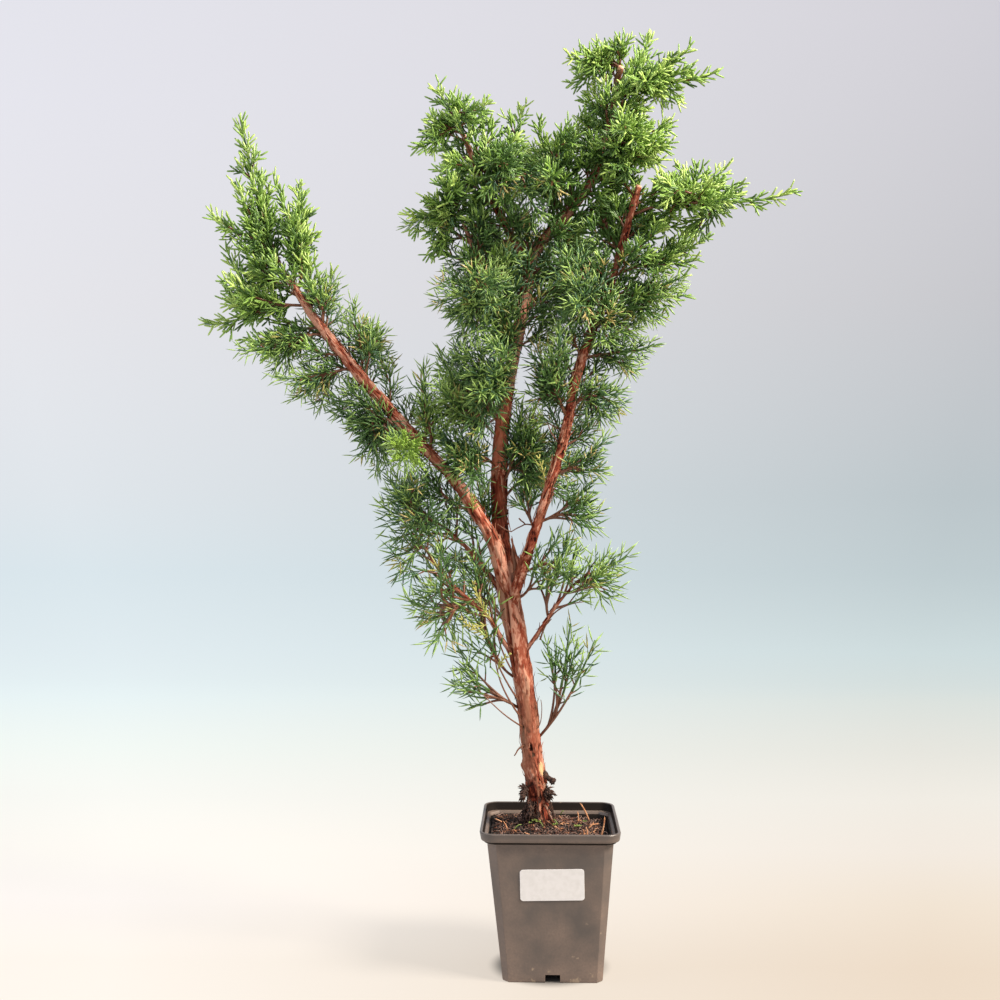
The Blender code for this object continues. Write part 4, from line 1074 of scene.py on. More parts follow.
def bark_limb(name, seed):
    """The limb's tube with the relief added to its radius, and each point's shade and tone."""
    rows, tangents, first, second = limb_frames(name, BARK_STEP)
    sides = max(FEWEST_SIDES, round(2 * math.pi * rows[:, 3].max() / BARK_ARC))
    lengths = np.r_[0, np.cumsum(np.linalg.norm(np.diff(rows[:, :3], axis=0), axis=1))]
    angles = 2 * np.pi * np.arange(sides) / sides
    girth = rows[:, 3].mean()
    flaked = lengths * SHORT_FLAKES.get(name, 1.0)
    place = np.stack(
        np.broadcast_arrays(girth * np.cos(angles), girth * np.sin(angles), flaked[:, None]), -1
    )
    height, tone, shade = bark_relief(place, seed)
    depth = np.minimum(1.0, rows[:, 3] / FULL_RELIEF_RADIUS)[:, None]
    swell = 0.05 * np.sin(2 * angles + 0.02 * lengths[:, None]) * rows[:, 3:4]
    grain = place.copy()
    if name == "trunk":
        quiet = QUIET * smooth_step(rows[:, 2:3], RAGGED_BELOW, QUIET_FROM)
        height = height * (1 - quiet)
        shade = shade * (1 - quiet) + shade.mean() * quiet
        tone = tone + TANNED_TONE * stretch(rows[:, 2:3], *TANNED)
        lumps = noise(place, (3.2, 3.2, 5.0), seed + 12) * (1 - smooth_step(rows[:, 2:3], *LUMPY_BELOW))
        height, shade = height + 1.7 * lumps, shade + 2.4 * lumps
        calm = stretch(rows[:, 2:3], *CALM)
        height = height * (1 - 0.75 * calm)
        shade = shade * (1 - 0.85 * calm) + CALM_SHADE * calm + PAINTED_SHADE_DEPTH * stretch(rows[:, 2:3], *PAINTED_SHADE_STRETCH)
        # The fresh red is partly painted light in the middle, fading on the flanks, which are darkened as
        # painted shade.
        tone = tone * (1 - calm) - FRESH_RED_AND_PAINTED_LIGHT_TONE * calm * (1 - 0.6 * np.sin(angles) ** 4)
        shade = shade + PAINTED_FLANK_SHADE * calm * np.sin(angles) ** 4
        grain[..., :2] *= 1 - 0.75 * calm[..., None]
        line = np.interp(rows[:, 2], CLEFT_HEIGHTS, CLEFT_ANGLES)[:, None]
        inside = (rows[:, 2] > CLEFT_HEIGHTS[0]) & (rows[:, 2] < CLEFT_HEIGHTS[-1])
        across = (angles - line) * rows[:, 3:4]
        groove = np.exp(-((across / CLEFT_WIDTH) ** 2)) * inside[:, None]
        # The cleft is darkened in its groove as painted shade.
        height, shade = height - CLEFT_DEPTH * groove, shade - 3 * groove
        strip = np.exp(-(((across + 3.2) / 2.0) ** 2)) * inside[:, None]
        shade, tone = shade + 0.8 * strip, tone + 1.2 * strip
        middle, turn, tall, wide, rise = KNOB
        near = np.hypot((rows[:, 2:3] - middle) / tall, (angles - turn) * rows[:, 3:4] / wide)
        height = height + rise * np.exp(-(near**2))
        for middle, turn, tall, wide, toned, shaded, rise in PATCHES:
            across = (angles - turn) * rows[:, 3:4]
            ragged = 0.35 * noise(place, 2.2, seed + 11)
            near = np.hypot((rows[:, 2:3] - middle) / tall, across / wide) + ragged
            patch = 1 - smooth_step(near, 0.8, 1.05)
            height = height + rise * patch
            shade, tone = shade + shaded * patch, tone + toned * patch
    # Painted light and shade by height.
    if name in BARK_PAINTED_LIGHT_AND_SHADE:
        shade = shade + np.interp(rows[:, 2:3], *BARK_PAINTED_LIGHT_AND_SHADE[name])
    radius = rows[:, 3:4] + swell + depth * height
    circle = np.cos(angles)[:, None] * first[:, None] + np.sin(angles)[:, None] * second[:, None]
    points = rows[:, None, :3] + radius[..., None] * circle
    points = np.concatenate([points.reshape(-1, 3), rows[[0, -1], :3]])
    ends = np.zeros(2)
    grain = np.concatenate([grain.reshape(-1, 3), grain[[0, -1], 0]]) * MM
    return points, tube_faces(len(rows), sides), np.r_[shade.ravel(), ends], np.r_[tone.ravel(), ends], grain


bark = [bark_limb(name, 20 + 10 * number) for number, name in enumerate(LIMBS)]
print("bark points", sum(len(points) for points, *_ in bark))

# %% [markdown]
# Where the bark has let go, its strips stand off and catch the light. Each is a flat tube laid along the
# limb and bent away from it at one end or both, so it keeps a thickness when it is seen from the side.

# %% Loose strips
STRIP_SPACING = {"trunk": 3.8, "left_bough": 3.0, "right_bough": 3.6}
OTHER_STRIP_SPACING = 12.0
MORE_AT_FOOT = {"trunk": 1.4}
STRIP_POINTS = 8


def strips(name):
    """Ribbons along a limb that lift off it towards their ends, by the square of the way from the middle."""
    rows, _, first, second = limb_frames(name, BARK_STEP)
    count = round(len(rows) * BARK_STEP / STRIP_SPACING.get(name, OTHER_STRIP_SPACING))
    length = spread(count, 6, 24)
    start = spread(count, 0, 1) ** MORE_AT_FOOT.get(name, 1.0) * (len(rows) - 1 - length / BARK_STEP)
    t = np.linspace(0, 1, STRIP_POINTS)
    index = np.clip(start[:, None] + length[:, None] / BARK_STEP * t, 0, len(rows) - 1).astype(int)
    angle = spread(count, 0, 2 * math.pi)[:, None] + spread(count, -0.5, 0.5)[:, None] * t
    lift = spread(count, 0.0, 1.6)[:, None] * (2 * t - 1.0) ** 2 + 0.25
    lift = lift + spread(count, 0.0, 2.2)[:, None] * smooth_step(t, 0.7, 1.0)
    out = np.cos(angle)[..., None] * first[index] + np.sin(angle)[..., None] * second[index]
    centres = rows[index, :3] + (rows[index, 3] + lift)[..., None] * out
    across = np.cross(unit(np.gradient(centres, axis=1)), out)
    widths = spread(count, 0.45, 1.2)[:, None] * (0.35 + 0.65 * np.sin(np.pi * t) ** 0.5)
    points, faces = tubes(centres, widths, 6, wide=across, flat=0.28)
    each = len(points) // count
    shade, tone = spread(count, -0.8, 2.0), spread(count, -1, 1)
    return points, faces, np.repeat(shade, each), np.repeat(tone, each), points * MM


bark += [strips(name) for name in LIMBS]
print("bark faces", sum(len(faces) for _, faces, *_ in bark))

# %% [markdown]
# The bark's colour follows its layers: dark in the splits and cracks, which is painted shade, red-brown
# below a strip that has just gone, pink and grey where it has weathered. The numbers for this come from the
# same noise as the relief, so that a ridge and its colour always agree.

# %% Peeling bark material
BARK_STOPS = ((0.18, "#1a0a07"), (0.38, "#56231a"), (0.6, "#843e2c"), (0.82, "#9c5a46"), (1.0, "#c6917c"))
# The tones laid over that: where each starts and is full, its share there, and its colour. The second, a
# bright fresh red, is partly painted light, mostly on the trunk's calm stretch.
BARK_TONES = ((0.1, 0.9, 0.55, "#90705a"), (-1.0, -1.8, 0.7, "#b8644a"), (1.6, 2.2, 0.8, "#d8b184"))
# Millimetres between fibres and between flakes, across the grain.
FIBRE, FLAKE = 0.9091, 2.6316


def bark_material(name):
    """Fibrous juniper bark: matt, with hairline grain in bump, coloured by its layers' shade and tone."""
    material, _ = start_material(name)
    shade = add_node(material, "Attribute", {}, attribute_name="shade").outputs["Fac"]
    tone = add_node(material, "Attribute", {}, attribute_name="tone").outputs["Fac"]
    grain = add_node(material, "Attribute", {}, attribute_name="grain").outputs["Vector"]
    drawn_out = add_node(
        material, "VectorMath", {0: grain, 1: (1.0, 1.0, 0.24)}, operation="MULTIPLY"
    ).outputs[0]
    fibres = add_node(material, "TexNoise", {"Vector": drawn_out, "Scale": 1000 / FIBRE, "Detail": 3.0})
    flakes = add_node(material, "TexNoise", {"Vector": drawn_out, "Scale": 1000 / FLAKE, "Detail": 2.0})
    # Painted shade in the cracks between the flakes.
    crack_shade = add_node(
        material, "MapRange",
        {"Value": flakes, "From Min": 0.37, "From Max": 0.45, "To Min": -0.28, "To Max": 0.0},
    )
    spread_shade = add_node(
        material, "MapRange",
        {"Value": shade, "From Min": -2.2, "From Max": 2.6, "To Min": -0.09, "To Max": 0.85},
    )
    rough = add_node(material, "Math", {0: fibres, 1: 0.62, 2: spread_shade}, operation="MULTIPLY_ADD")
    factor = add_node(material, "Math", {0: rough, 1: crack_shade}, operation="ADD")
    ramp = add_node(material, "ValToRGB", {"Fac": factor}, stops=BARK_STOPS)
    layers = []
    for start, end, share, bark_colour in BARK_TONES:
        limits = {"Value": tone, "From Min": start, "From Max": end, "To Max": share}
        layers.append((add_node(material, "MapRange", limits), bark_colour))
    colour = laid_over(material, ramp, layers)
    bump = add_node(material, "Bump", {"Height": factor, "Strength": 0.6, "Distance": 0.0005})
    return end_material(
        material, {"Base Color": colour, "Roughness": 0.78, "Specular IOR Level": 0.1, "Normal": bump}
    )


peeling_bark = bark_material("peeling_bark")
for name, shapes, nodes in (("trunk_bark", bark[:1], ("trunk",)), ("bough_bark", bark[1:], BOUGHS)):
    piece = put_mesh(name, *joined([(points, faces) for points, faces, *_ in shapes]))
    for number, layer in enumerate(("shade", "tone", "grain"), 2):
        put_attribute(piece, layer, np.concatenate([shape[number] for shape in shapes]))
    keep(piece, peeling_bark, "bark", *nodes)

# %% [markdown]
# A cut limb shows a disc of pale wood, pink on a fresh cut, with a matt, finely streaked face. It is a
# short plug in the end of the bark's tube, as wide as the limb, rather than a colour on the bark.

# %% Sawn ends
STUB_RADIUS = 2.5
STREAK = 1.4286


def sawn_end(end, ahead, radius):
    """A short plug of pale wood in the end of a limb, about as wide as its bark."""
    reach = np.array([-1.2, 0.4, 1.4, 1.8])[:, None] * ahead
    return tubes((end + reach)[None], radius * np.array([[0.95, 1.0, 0.95, 0.6]]), 20)


def limb_end(name):
    """The plug of a limb that ends in a cut, at its last row and as wide as its radius there."""
    rows, tangents, _, _ = limb_frames(name, BARK_STEP)
    return sawn_end(rows[-1, :3], tangents[-1], rows[-1, 3])


sawn_wood, place = start_material("sawn_wood")
rings = add_node(sawn_wood, "TexNoise", {"Vector": place, "Scale": 1000 / STREAK, "Detail": 2.0})
ramp = add_node(
    sawn_wood, "ValToRGB", {"Fac": rings}, stops=((0.3, "#d98f72"), (0.55, "#f0b79c"), (0.75, "#f8d5c2"))
)
end_material(sawn_wood, {"Base Color": ramp, "Roughness": 0.7})
stub_end = np.array(SAWN_STUB[2])
plugs = [limb_end(name) for name in SAWN_LIMBS]
plugs.append(sawn_end(stub_end, unit(stub_end - SAWN_STUB[1]), STUB_RADIUS))
keep(put_mesh("sawn_ends", *joined(plugs)), sawn_wood, "bark")

# %% [markdown]
# The pot is thin black polypropylene, injection moulded, with a skirt round its rim, chamfered corners and
# a groove under each side for water. The solid model has its sizes. Here the same profile gets the small
# fillets of the mould and the slight waviness of a thin wall, because edges catch the light.

# %% Pot sizes
POT_HEIGHT = 120.0
RIM_HALF = 55.0
RIM_CORNER = 12.0
SKIRT_Z = 113.2
SKIRT_LEAN = 1.0
BODY_TOP_HALF = 49.6
FOOT_HALF = 39.3
TOP_CHAMFER, FOOT_CHAMFER = 7.2, 4.7
CHAMFER_FILLET = 1.0
LIP_WIDTH = 2.3
WALL = 1.5
LEDGE_Z = 111.5
FLOOR_TOP = 8.2
DRAIN = (11.7, 26.0, 6.6)
ARC_STEPS = 6
FLAT_STEPS = 10
WAVE = 0.22
FOOT_SHIFT = 2.0
INNER_SHADE = (0.95, 0.95, 1.0, 1.0)
LEAN = math.atan((BODY_TOP_HALF - FOOT_HALF) / SKIRT_Z)

# %% [markdown]
# The pot is one closed surface: a ring for each height, up the outside, over the lip and down the inside.
# Each ring is a square with its corners cut off and rounded, so one function of four numbers makes all.

# %% Profile of the pot
def body_half(z):
    """Half the width of the pot's wall at a height: straight from the foot to the skirt."""
    return FOOT_HALF + (BODY_TOP_HALF - FOOT_HALF) * z / SKIRT_Z


def chamfer(z):
    """How much of each corner is cut off at a height, also straight from the foot to the skirt."""
    return FOOT_CHAMFER + (TOP_CHAMFER - FOOT_CHAMFER) * z / SKIRT_Z


def square_ring(half, cut, fillet, z):
    """A square of the half-width given with its corners cut off at 45 degrees and a fillet on either side.

    A fillet spans 45 degrees, so it takes fillet * tan(22.5 degrees) of each side. Where cut and fillet add
    up to one radius, both arcs share a centre and the corner is round.
    """
    near = half - cut - fillet * math.tan(math.radians(22.5))
    turns = np.radians(np.linspace(0, 45, ARC_STEPS))
    arc = np.stack([np.cos(turns), np.sin(turns)], 1) * fillet
    lower = arc + (half - fillet, near)
    turns = turns + math.pi / 4
    upper = np.stack([np.cos(turns), np.sin(turns)], 1) * fillet + (near, half - fillet)
    flat = np.stack([np.linspace(near, -near, FLAT_STEPS + 2)[1:-1], np.full(FLAT_STEPS, half)], 1)
    corner = np.concatenate([lower, upper, flat])
    quarters = [corner, corner[:, ::-1] * (-1, 1), -corner, corner[:, ::-1] * (1, -1)]
    return np.hstack([np.concatenate(quarters), np.full((4 * len(corner), 1), z)])


def lofted(rings):
    """A closed surface through equally long rings, with a fan to a middle point at each end."""
    count, sides = len(rings), len(rings[0])
    points = np.concatenate([*rings, rings[0].mean(0)[None], rings[-1].mean(0)[None]])
    return points, tube_faces(count, sides)


def pot_rings():
    """The profile from under the foot, up the wall, over the lip and down the inside to the floor."""
    def wall(z, inwards=0.0):
        """A ring of the body: its half-width and chamfer at the height, both made less inwards."""
        return body_half(z) - inwards, chamfer(z) - 0.4 * inwards, CHAMFER_FILLET, z

    def skirt(z, inwards):
        """A ring of the skirt: its corner is one quarter round, cut and fillet sharing a centre."""
        round_corner = RIM_CORNER - inwards
        cut = round_corner * (1 - math.tan(math.radians(22.5)))
        return RIM_HALF - inwards, cut, round_corner, z

    rows = [(30.0, 3.5, 1.0, 0.0), wall(0.0, 1.3), wall(0.25, 0.45), wall(0.9, 0.08), wall(1.8)]
    rows += [wall(z) for z in np.linspace(8, SKIRT_Z - 3, 22)]
    rows += [wall(SKIRT_Z - 0.9), (BODY_TOP_HALF + 0.35, TOP_CHAMFER, 2.4, SKIRT_Z - 0.2)]
    rows += [skirt(SKIRT_Z, 3.0), skirt(SKIRT_Z, SKIRT_LEAN + 0.5), skirt(SKIRT_Z + 0.5, SKIRT_LEAN)]
    rows += [skirt(z, SKIRT_LEAN * (119.2 - z) / 6) for z in (115.0, 117.0, 119.2)]
    rows += [skirt(119.6, 0.25), skirt(119.9, 0.6), skirt(POT_HEIGHT, 1.0)]
    rows += [skirt(POT_HEIGHT, LIP_WIDTH - 0.8), skirt(119.75, LIP_WIDTH - 0.15)]
    inner = [skirt(119.2, LIP_WIDTH), skirt(LEDGE_Z + 0.6, LIP_WIDTH + 0.9), skirt(LEDGE_Z, LIP_WIDTH + 1.5)]
    inner += [wall(LEDGE_Z - 1.2, WALL - 0.4), wall(LEDGE_Z - 2.0, WALL)]
    inner += [wall(z, WALL) for z in (95.0, 60.0, FLOOR_TOP + 1, FLOOR_TOP)]
    # How much each ring is darkened as painted shade: none outside, and dark inside.
    inner_painted_shade = np.r_[np.zeros(len(rows)), INNER_SHADE, np.ones(len(inner) - len(INNER_SHADE))]
    return [square_ring(*row) for row in rows + inner], inner_painted_shade

# %% [markdown]
# The grooves cross the profile under the foot, so they can't be rings of it. Blocks cut them out of the
# finished body with a Boolean, and the wall gets its slight waves before that.

# %% The pot's mesh and its drain grooves
def block(low, high):
    """A closed box between two corners."""
    corners = np.array([[x, y, z] for x in (0, 1) for y in (0, 1) for z in (0, 1)])
    faces = np.array([[0, 1, 3, 2], [4, 6, 7, 5], [0, 4, 5, 1], [2, 3, 7, 6], [0, 2, 6, 4], [1, 5, 7, 3]])
    return np.asarray(low) + corners * (np.asarray(high) - low), faces


rings, inner_painted_shade = pot_rings()
pot_points, pot_faces = lofted(rings)
waves = WAVE * noise(pot_points, 34.0, 5) * smooth_step(pot_points[:, 2], 2, 20)
outward = unit(pot_points * (1, 1, 0))
pot_points = pot_points + waves[:, None] * outward
pot_points[:, 0] += FOOT_SHIFT * (1 - pot_points[:, 2] / POT_HEIGHT)
pot = put_mesh("nursery_pot", pot_points, pot_faces)
put_attribute(pot, "inside", np.r_[np.repeat(inner_painted_shade, len(rings[0])), 0.0, 1.0])
width, length, height = DRAIN
reach = FOOT_HALF + 4.0
grooves = []
for low_x, low_y, high_x, high_y in (
    (FOOT_SHIFT - width / 2, -reach, FOOT_SHIFT + width / 2, length - reach),
    (FOOT_SHIFT - width / 2, reach - length, FOOT_SHIFT + width / 2, reach),
    (-reach, -width / 2, length - reach, width / 2),
    (reach - length, -width / 2, reach, width / 2),
):
    grooves.append(block((low_x, low_y, -2.0), (high_x, high_y, height)))
cutter = put_mesh("grooves", *joined(grooves), smooth=False)
cut = pot.modifiers.new("grooves", "BOOLEAN")
cut.object = cutter
pot.data = bpy.data.meshes.new_from_object(pot.evaluated_get(bpy.context.evaluated_depsgraph_get()))
pot.modifiers.clear()
bpy.data.objects.remove(cutter)
pot.data.set_sharp_from_angle(angle=math.radians(35))
print("pot faces", len(pot.data.polygons))

# %% [markdown]
# Black plastic that has stood outdoors is no longer black: potting dust clings to it, most of all at the
# foot and under the rim, and it picks up pale scuffs. Inside, the wall is painted darker than the bare
# plastic, as painted shade.
# Each of these is a layer: bands of height for the dust, broken up by noise for its clouds and its grit.

# %% Dusty polypropylene
# The plastic, its dust, the painted shade inside the pot, and its scuffs.
PLASTIC, DUST, INSIDE_PAINTED_SHADE, SCUFF = "#544d4a", "#877367", "#1d1917", "#a4917c"
# Millimetres between clouds of dust, between grit and between scuffs, each with its octaves.
NOISE_SIZES = ((26.316, 5.0), (1.613, 3.0), (6.25, 6.0))
# The height where each band starts and where it is full, and its amount at the one and the other.
HEIGHT_BANDS = {
    "foot": (22.0, 0.0, 0.0, 0.55),
    "rim": (98.0, 113.0, 0.0, 0.35),
    "below_lip": (118.0, 115.5, 0.0, 1.0),
    "wall": (117.5, 111.5, 0.3, 1.0),
}

dusty_plastic, place = start_material("dusty_polypropylene")
height_in_pot = add_node(dusty_plastic, "SeparateXYZ", {"Vector": place}).outputs["Z"]
noises = []
for size, detail in NOISE_SIZES:
    cells = {"Vector": place, "Scale": 1000 / size, "Detail": detail}
    noises.append(add_node(dusty_plastic, "TexNoise", cells))
clouds, grit, scuffs = noises
bands = {}
for name, (start, end, there, here) in HEIGHT_BANDS.items():
    limits = {"From Min": start * MM, "From Max": end * MM, "To Min": there, "To Max": here}
    bands[name] = add_node(dusty_plastic, "MapRange", {"Value": height_in_pot, **limits})
cloud_dust = add_node(
    dusty_plastic, "MapRange", {"Value": clouds, "From Min": 0.34, "From Max": 0.74, "To Max": 0.75}
)
broken = add_node(
    dusty_plastic, "MapRange", {"Value": grit, "From Min": 0.2, "From Max": 0.8, "To Min": 0.45}
)
amount = bands["rim"]
for operation, other in (
    ("MULTIPLY", bands["below_lip"]),
    ("ADD", bands["foot"]),
    ("ADD", cloud_dust),
    ("MULTIPLY", bands["wall"]),
    ("MULTIPLY", broken),
):
    amount = add_node(dusty_plastic, "Math", {0: amount, 1: other}, operation=operation)
amount.use_clamp = True
inside = add_node(dusty_plastic, "Attribute", {}, attribute_name="inside").outputs["Fac"]
scuffing = add_node(
    dusty_plastic, "Math",
    {0: bands["foot"], 1: 0.22, 2: scuffs}, operation="MULTIPLY_ADD",
)
scuffed = add_node(
    dusty_plastic, "MapRange", {"Value": scuffing, "From Min": 0.7, "From Max": 0.78, "To Max": 0.6}
)
layers = ((amount, DUST), (inside, INSIDE_PAINTED_SHADE), (scuffed, SCUFF))
colour = laid_over(dusty_plastic, linear(PLASTIC), layers)
bump = add_node(dusty_plastic, "Bump", {"Height": grit, "Strength": 0.15, "Distance": 0.0002})
roughness = add_node(dusty_plastic, "MapRange", {"Value": amount, "To Min": 0.38, "To Max": 0.65})
gloss = add_node(dusty_plastic, "MapRange", {"Value": inside, "To Min": 0.5, "To Max": 0.04})
end_material(
    dusty_plastic,
    {
        "Base Color": colour,
        "Roughness": roughness,
        "IOR": 1.49,
        "Specular IOR Level": gloss,
        "Normal": bump,
    },
)
keep(pot, dusty_plastic, "pot", "pot")

# %% [markdown]
# The sticker on the front is plain white paper, left bare. It is a sheet with rounded corners that lies on
# the leaning wall, slightly askew, as it was stuck on by hand.

# %% Sticker
LABEL_SIZE = (50.0, 25.0)
LABEL_CORNER = 2.5
PULP = 3.846
LABEL_CENTRE = (1.5, 79.0)
LABEL_ROLL = math.radians(1.2)


def label_ring(inset, lift):
    """A rounded rectangle smaller by an inset, laid on the wall and lifted off it."""
    half = np.array(LABEL_SIZE) / 2 - inset
    corner = LABEL_CORNER - inset
    turns = np.linspace(0, math.pi / 2, 9)
    arc = corner * np.stack([np.cos(turns), np.sin(turns)], 1) + (half - corner)
    flat = np.concatenate([arc, arc[::-1] * (-1, 1), -arc, arc[::-1] * (1, -1)])
    cosine, sine = math.cos(LABEL_ROLL), math.sin(LABEL_ROLL)
    flat = flat @ np.array([[cosine, sine], [-sine, cosine]])
    outwards = np.array([0.0, -math.cos(LEAN), -math.sin(LEAN)])
    up = np.array([0.0, -math.sin(LEAN), math.cos(LEAN)])
    centre = np.array([LABEL_CENTRE[0], -body_half(LABEL_CENTRE[1]), LABEL_CENTRE[1]])
    return centre + outwards * lift + flat[:, :1] * (1, 0, 0) + flat[:, 1:] * up


label_paper, place = start_material("label_paper")
pulp = add_node(label_paper, "TexNoise", {"Vector": place, "Scale": 1000 / PULP, "Detail": 5.0})
ramp = add_node(label_paper, "ValToRGB", {"Fac": pulp}, stops=((0.25, "#d0cfd0"), (0.6, "#d9d8da")))
end_material(label_paper, {"Base Color": ramp, "Roughness": 0.55})
rings = [label_ring(*row) for row in ((0.0, 0.1), (0.0, 0.5), (0.12, 0.6))]
sticker = put_mesh("sticker", *lofted(rings), smooth=False)
keep(sticker, label_paper, "label", "label")

# %% [markdown]
# The pot is filled with fibrous peat: dark crumbs, red-brown fibres, and a few bits of straw and seedlings.
# The surface is a grid of heights, and what lies on it is strewn over it from arrays.

# %% Peat surface
SOIL_EDGE_Z = 109.2
SOIL_FOOT_Z = 114.4
FOOT = np.array([-3.0, 6.0])
SOIL_SIDES, SOIL_RINGS = 200, 72


def soil_height(x, y):
    """Height of the peat: highest round the trunk and on the left, with lumps of three sizes."""
    place = np.stack([x, y, np.zeros_like(x)], -1)
    away = np.hypot(x - FOOT[0], y - FOOT[1])
    mound = SOIL_EDGE_Z + (SOIL_FOOT_Z - SOIL_EDGE_Z) * (1 - smooth_step(away, 10, 46))
    tilt = -0.05 * x - 0.01 * y
    lumps = 1.3 * noise(place, 11.0, 61) + 1.0 * noise(place, 4.2, 62) + 0.5 * noise(place, 1.7, 63)
    return mound + tilt + lumps


def inside_pot(z):
    """The ring of the pot's inner wall at a height, spread evenly by angle."""
    ring = square_ring(body_half(z) - WALL - 0.35, chamfer(z) - 0.6, CHAMFER_FILLET, z)[:, :2]
    angles = np.arctan2(ring[:, 1], ring[:, 0])
    order = np.argsort(angles)
    wanted = np.linspace(-math.pi, math.pi, SOIL_SIDES, endpoint=False)
    reach = np.interp(wanted, angles[order], np.hypot(*ring[order].T), period=2 * math.pi)
    return wanted, reach


def soil_surface():
    """Rings from the wall to the middle at the peat's height, over a plug that goes down to the floor."""
    turns, reach = inside_pot(SOIL_EDGE_Z)
    _, floor_reach = inside_pot(FLOOR_TOP + GAP)
    around = np.stack([np.cos(turns), np.sin(turns)], 1)
    rings = [np.hstack([around * floor_reach[:, None], np.full((SOIL_SIDES, 1), FLOOR_TOP + GAP)])]
    for share in np.linspace(1, 0.01, SOIL_RINGS):
        flat = around * reach[:, None] * share
        rings.append(np.column_stack([flat, soil_height(*flat.T)]))
    points, faces = lofted(rings)
    points[:, 0] += FOOT_SHIFT * (1 - points[:, 2] / POT_HEIGHT)
    return points, faces

# %% [markdown]
# Thousands of crumbs and fibres make the peat look like peat. Each kind is a few dozen faces at most, and
# all of one kind are worked out together. Peat and straw are matt, with flecks of their own size.

# %% Crumbs, roots and fibres
def strewn(count, room):
    """Random places on the peat, clear of the wall by the room given."""
    half = body_half(SOIL_EDGE_Z) - WALL - room
    x, y = spread(count, -half, half), spread(count, -half, half)
    return np.stack([x, y, soil_height(x, y)], 1)


def crumbs(count):
    """Lumps of peat: a squashed tube of two rings, each of its own size and turned its own way."""
    middle = strewn(count, 2.5)
    size = spread(count, 0.35, 1.5)[:, None]
    axis = unit(dice.normal(size=(count, 3)))
    t = np.array([-0.8, -0.4, 0.35, 0.8])
    lines = middle[:, None] + size[:, None] * t[None, :, None] * axis[:, None]
    widths = size * spread(count * 2, 0.55, 0.95).reshape(count, 2)
    return spindles(lines, widths, 5)


def curls(count, low, high, width):
    """Fine roots that wind over the peat in one or two loose turns.

    Each is a way along it plus a sine aside and a sine up, with phases of its own.
    """
    middle = strewn(count, 4.0)
    turn = spread(count, 0, 2 * math.pi)
    ahead = np.stack([np.cos(turn), np.sin(turn), np.zeros(count)], 1)[:, None]
    aside = np.stack([-np.sin(turn), np.cos(turn), np.zeros(count)], 1)[:, None]
    t = np.linspace(-1, 1, 9)[None, :]
    length = spread(count, low, high)[:, None] / 2
    sway = 0.35 * length * np.sin(4.2 * t + spread(count, 0, 6.3)[:, None])
    rise = 0.3 * length * (1 + np.sin(3.4 * t + spread(count, 0, 6.3)[:, None]))
    lines = middle[:, None] + (length * t)[..., None] * ahead + sway[..., None] * aside
    lines = lines + rise[..., None] * UP
    return spindles(lines, width * spread(count, 0.7, 1.4)[:, None] * np.ones(7), 3)


def fibres(count, low, high, width, room=4.0):
    """Thin curled fibres that lie on the peat, their ends in it."""
    middle = strewn(count, room)
    turn = spread(count, 0, 2 * math.pi)
    along_it = np.stack([np.cos(turn), np.sin(turn), spread(count, -0.15, 0.15)], 1)
    aside = np.stack([-np.sin(turn), np.cos(turn), np.zeros(count)], 1)
    t = np.linspace(-1, 1, 7)[None, :, None]
    length = spread(count, low, high)[:, None, None] / 2
    bow = spread(count, -0.45, 0.45)[:, None, None] * length
    lines = middle[:, None] + along_it[:, None] * t * length + aside[:, None] * bow * t**2
    lines = lines + UP * (spread(count, 0.3, 2.2)[:, None, None] * (1 - t**2))
    return spindles(lines, width * spread(count, 0.6, 1.3)[:, None] * np.ones(5), 4)


def earth_material(name, stops, size):
    """Damp matt peat or fibre, with flecks of the size given in millimetres."""
    material, place = start_material(name)
    flecks = add_node(material, "TexNoise", {"Vector": place, "Scale": 1000 / size, "Detail": 4.0})
    ramp = add_node(material, "ValToRGB", {"Fac": flecks}, stops=stops)
    bump = add_node(material, "Bump", {"Height": flecks, "Strength": 0.5, "Distance": 0.0006})
    return end_material(material, {"Base Color": ramp, "Roughness": 0.92, "Normal": bump})


peat = earth_material("damp_peat", ((0.36, "#050303"), (0.52, "#160d0a"), (0.68, "#503a31")), 2.4)
keep(put_mesh("peat_surface", *soil_surface()), peat, "soil", "soil")
keep(put_mesh("peat_crumbs", *crumbs(3000)), peat, "soil")
red_fibre = earth_material("peat_fibre", ((0.35, "#1d0f0b"), (0.55, "#643a2b"), (0.75, "#a87357")), 5.0)
keep(put_mesh("peat_fibres", *fibres(460, 3.0, 11.0, 0.24)), red_fibre, "soil")
fine_root = earth_material("fine_root", ((0.35, "#33231e"), (0.55, "#876a60"), (0.75, "#cbb0a3")), 4.0)
keep(put_mesh("fine_roots", *curls(420, 4.0, 11.0, 0.27)), fine_root, "soil")

# %% [markdown]
# Bits of straw stand and lie in the peat, and a few seedlings have come up. The ones that show are set
# out in tables, and random ones fill in between. Straw is dry and pale, with a soft matt face.

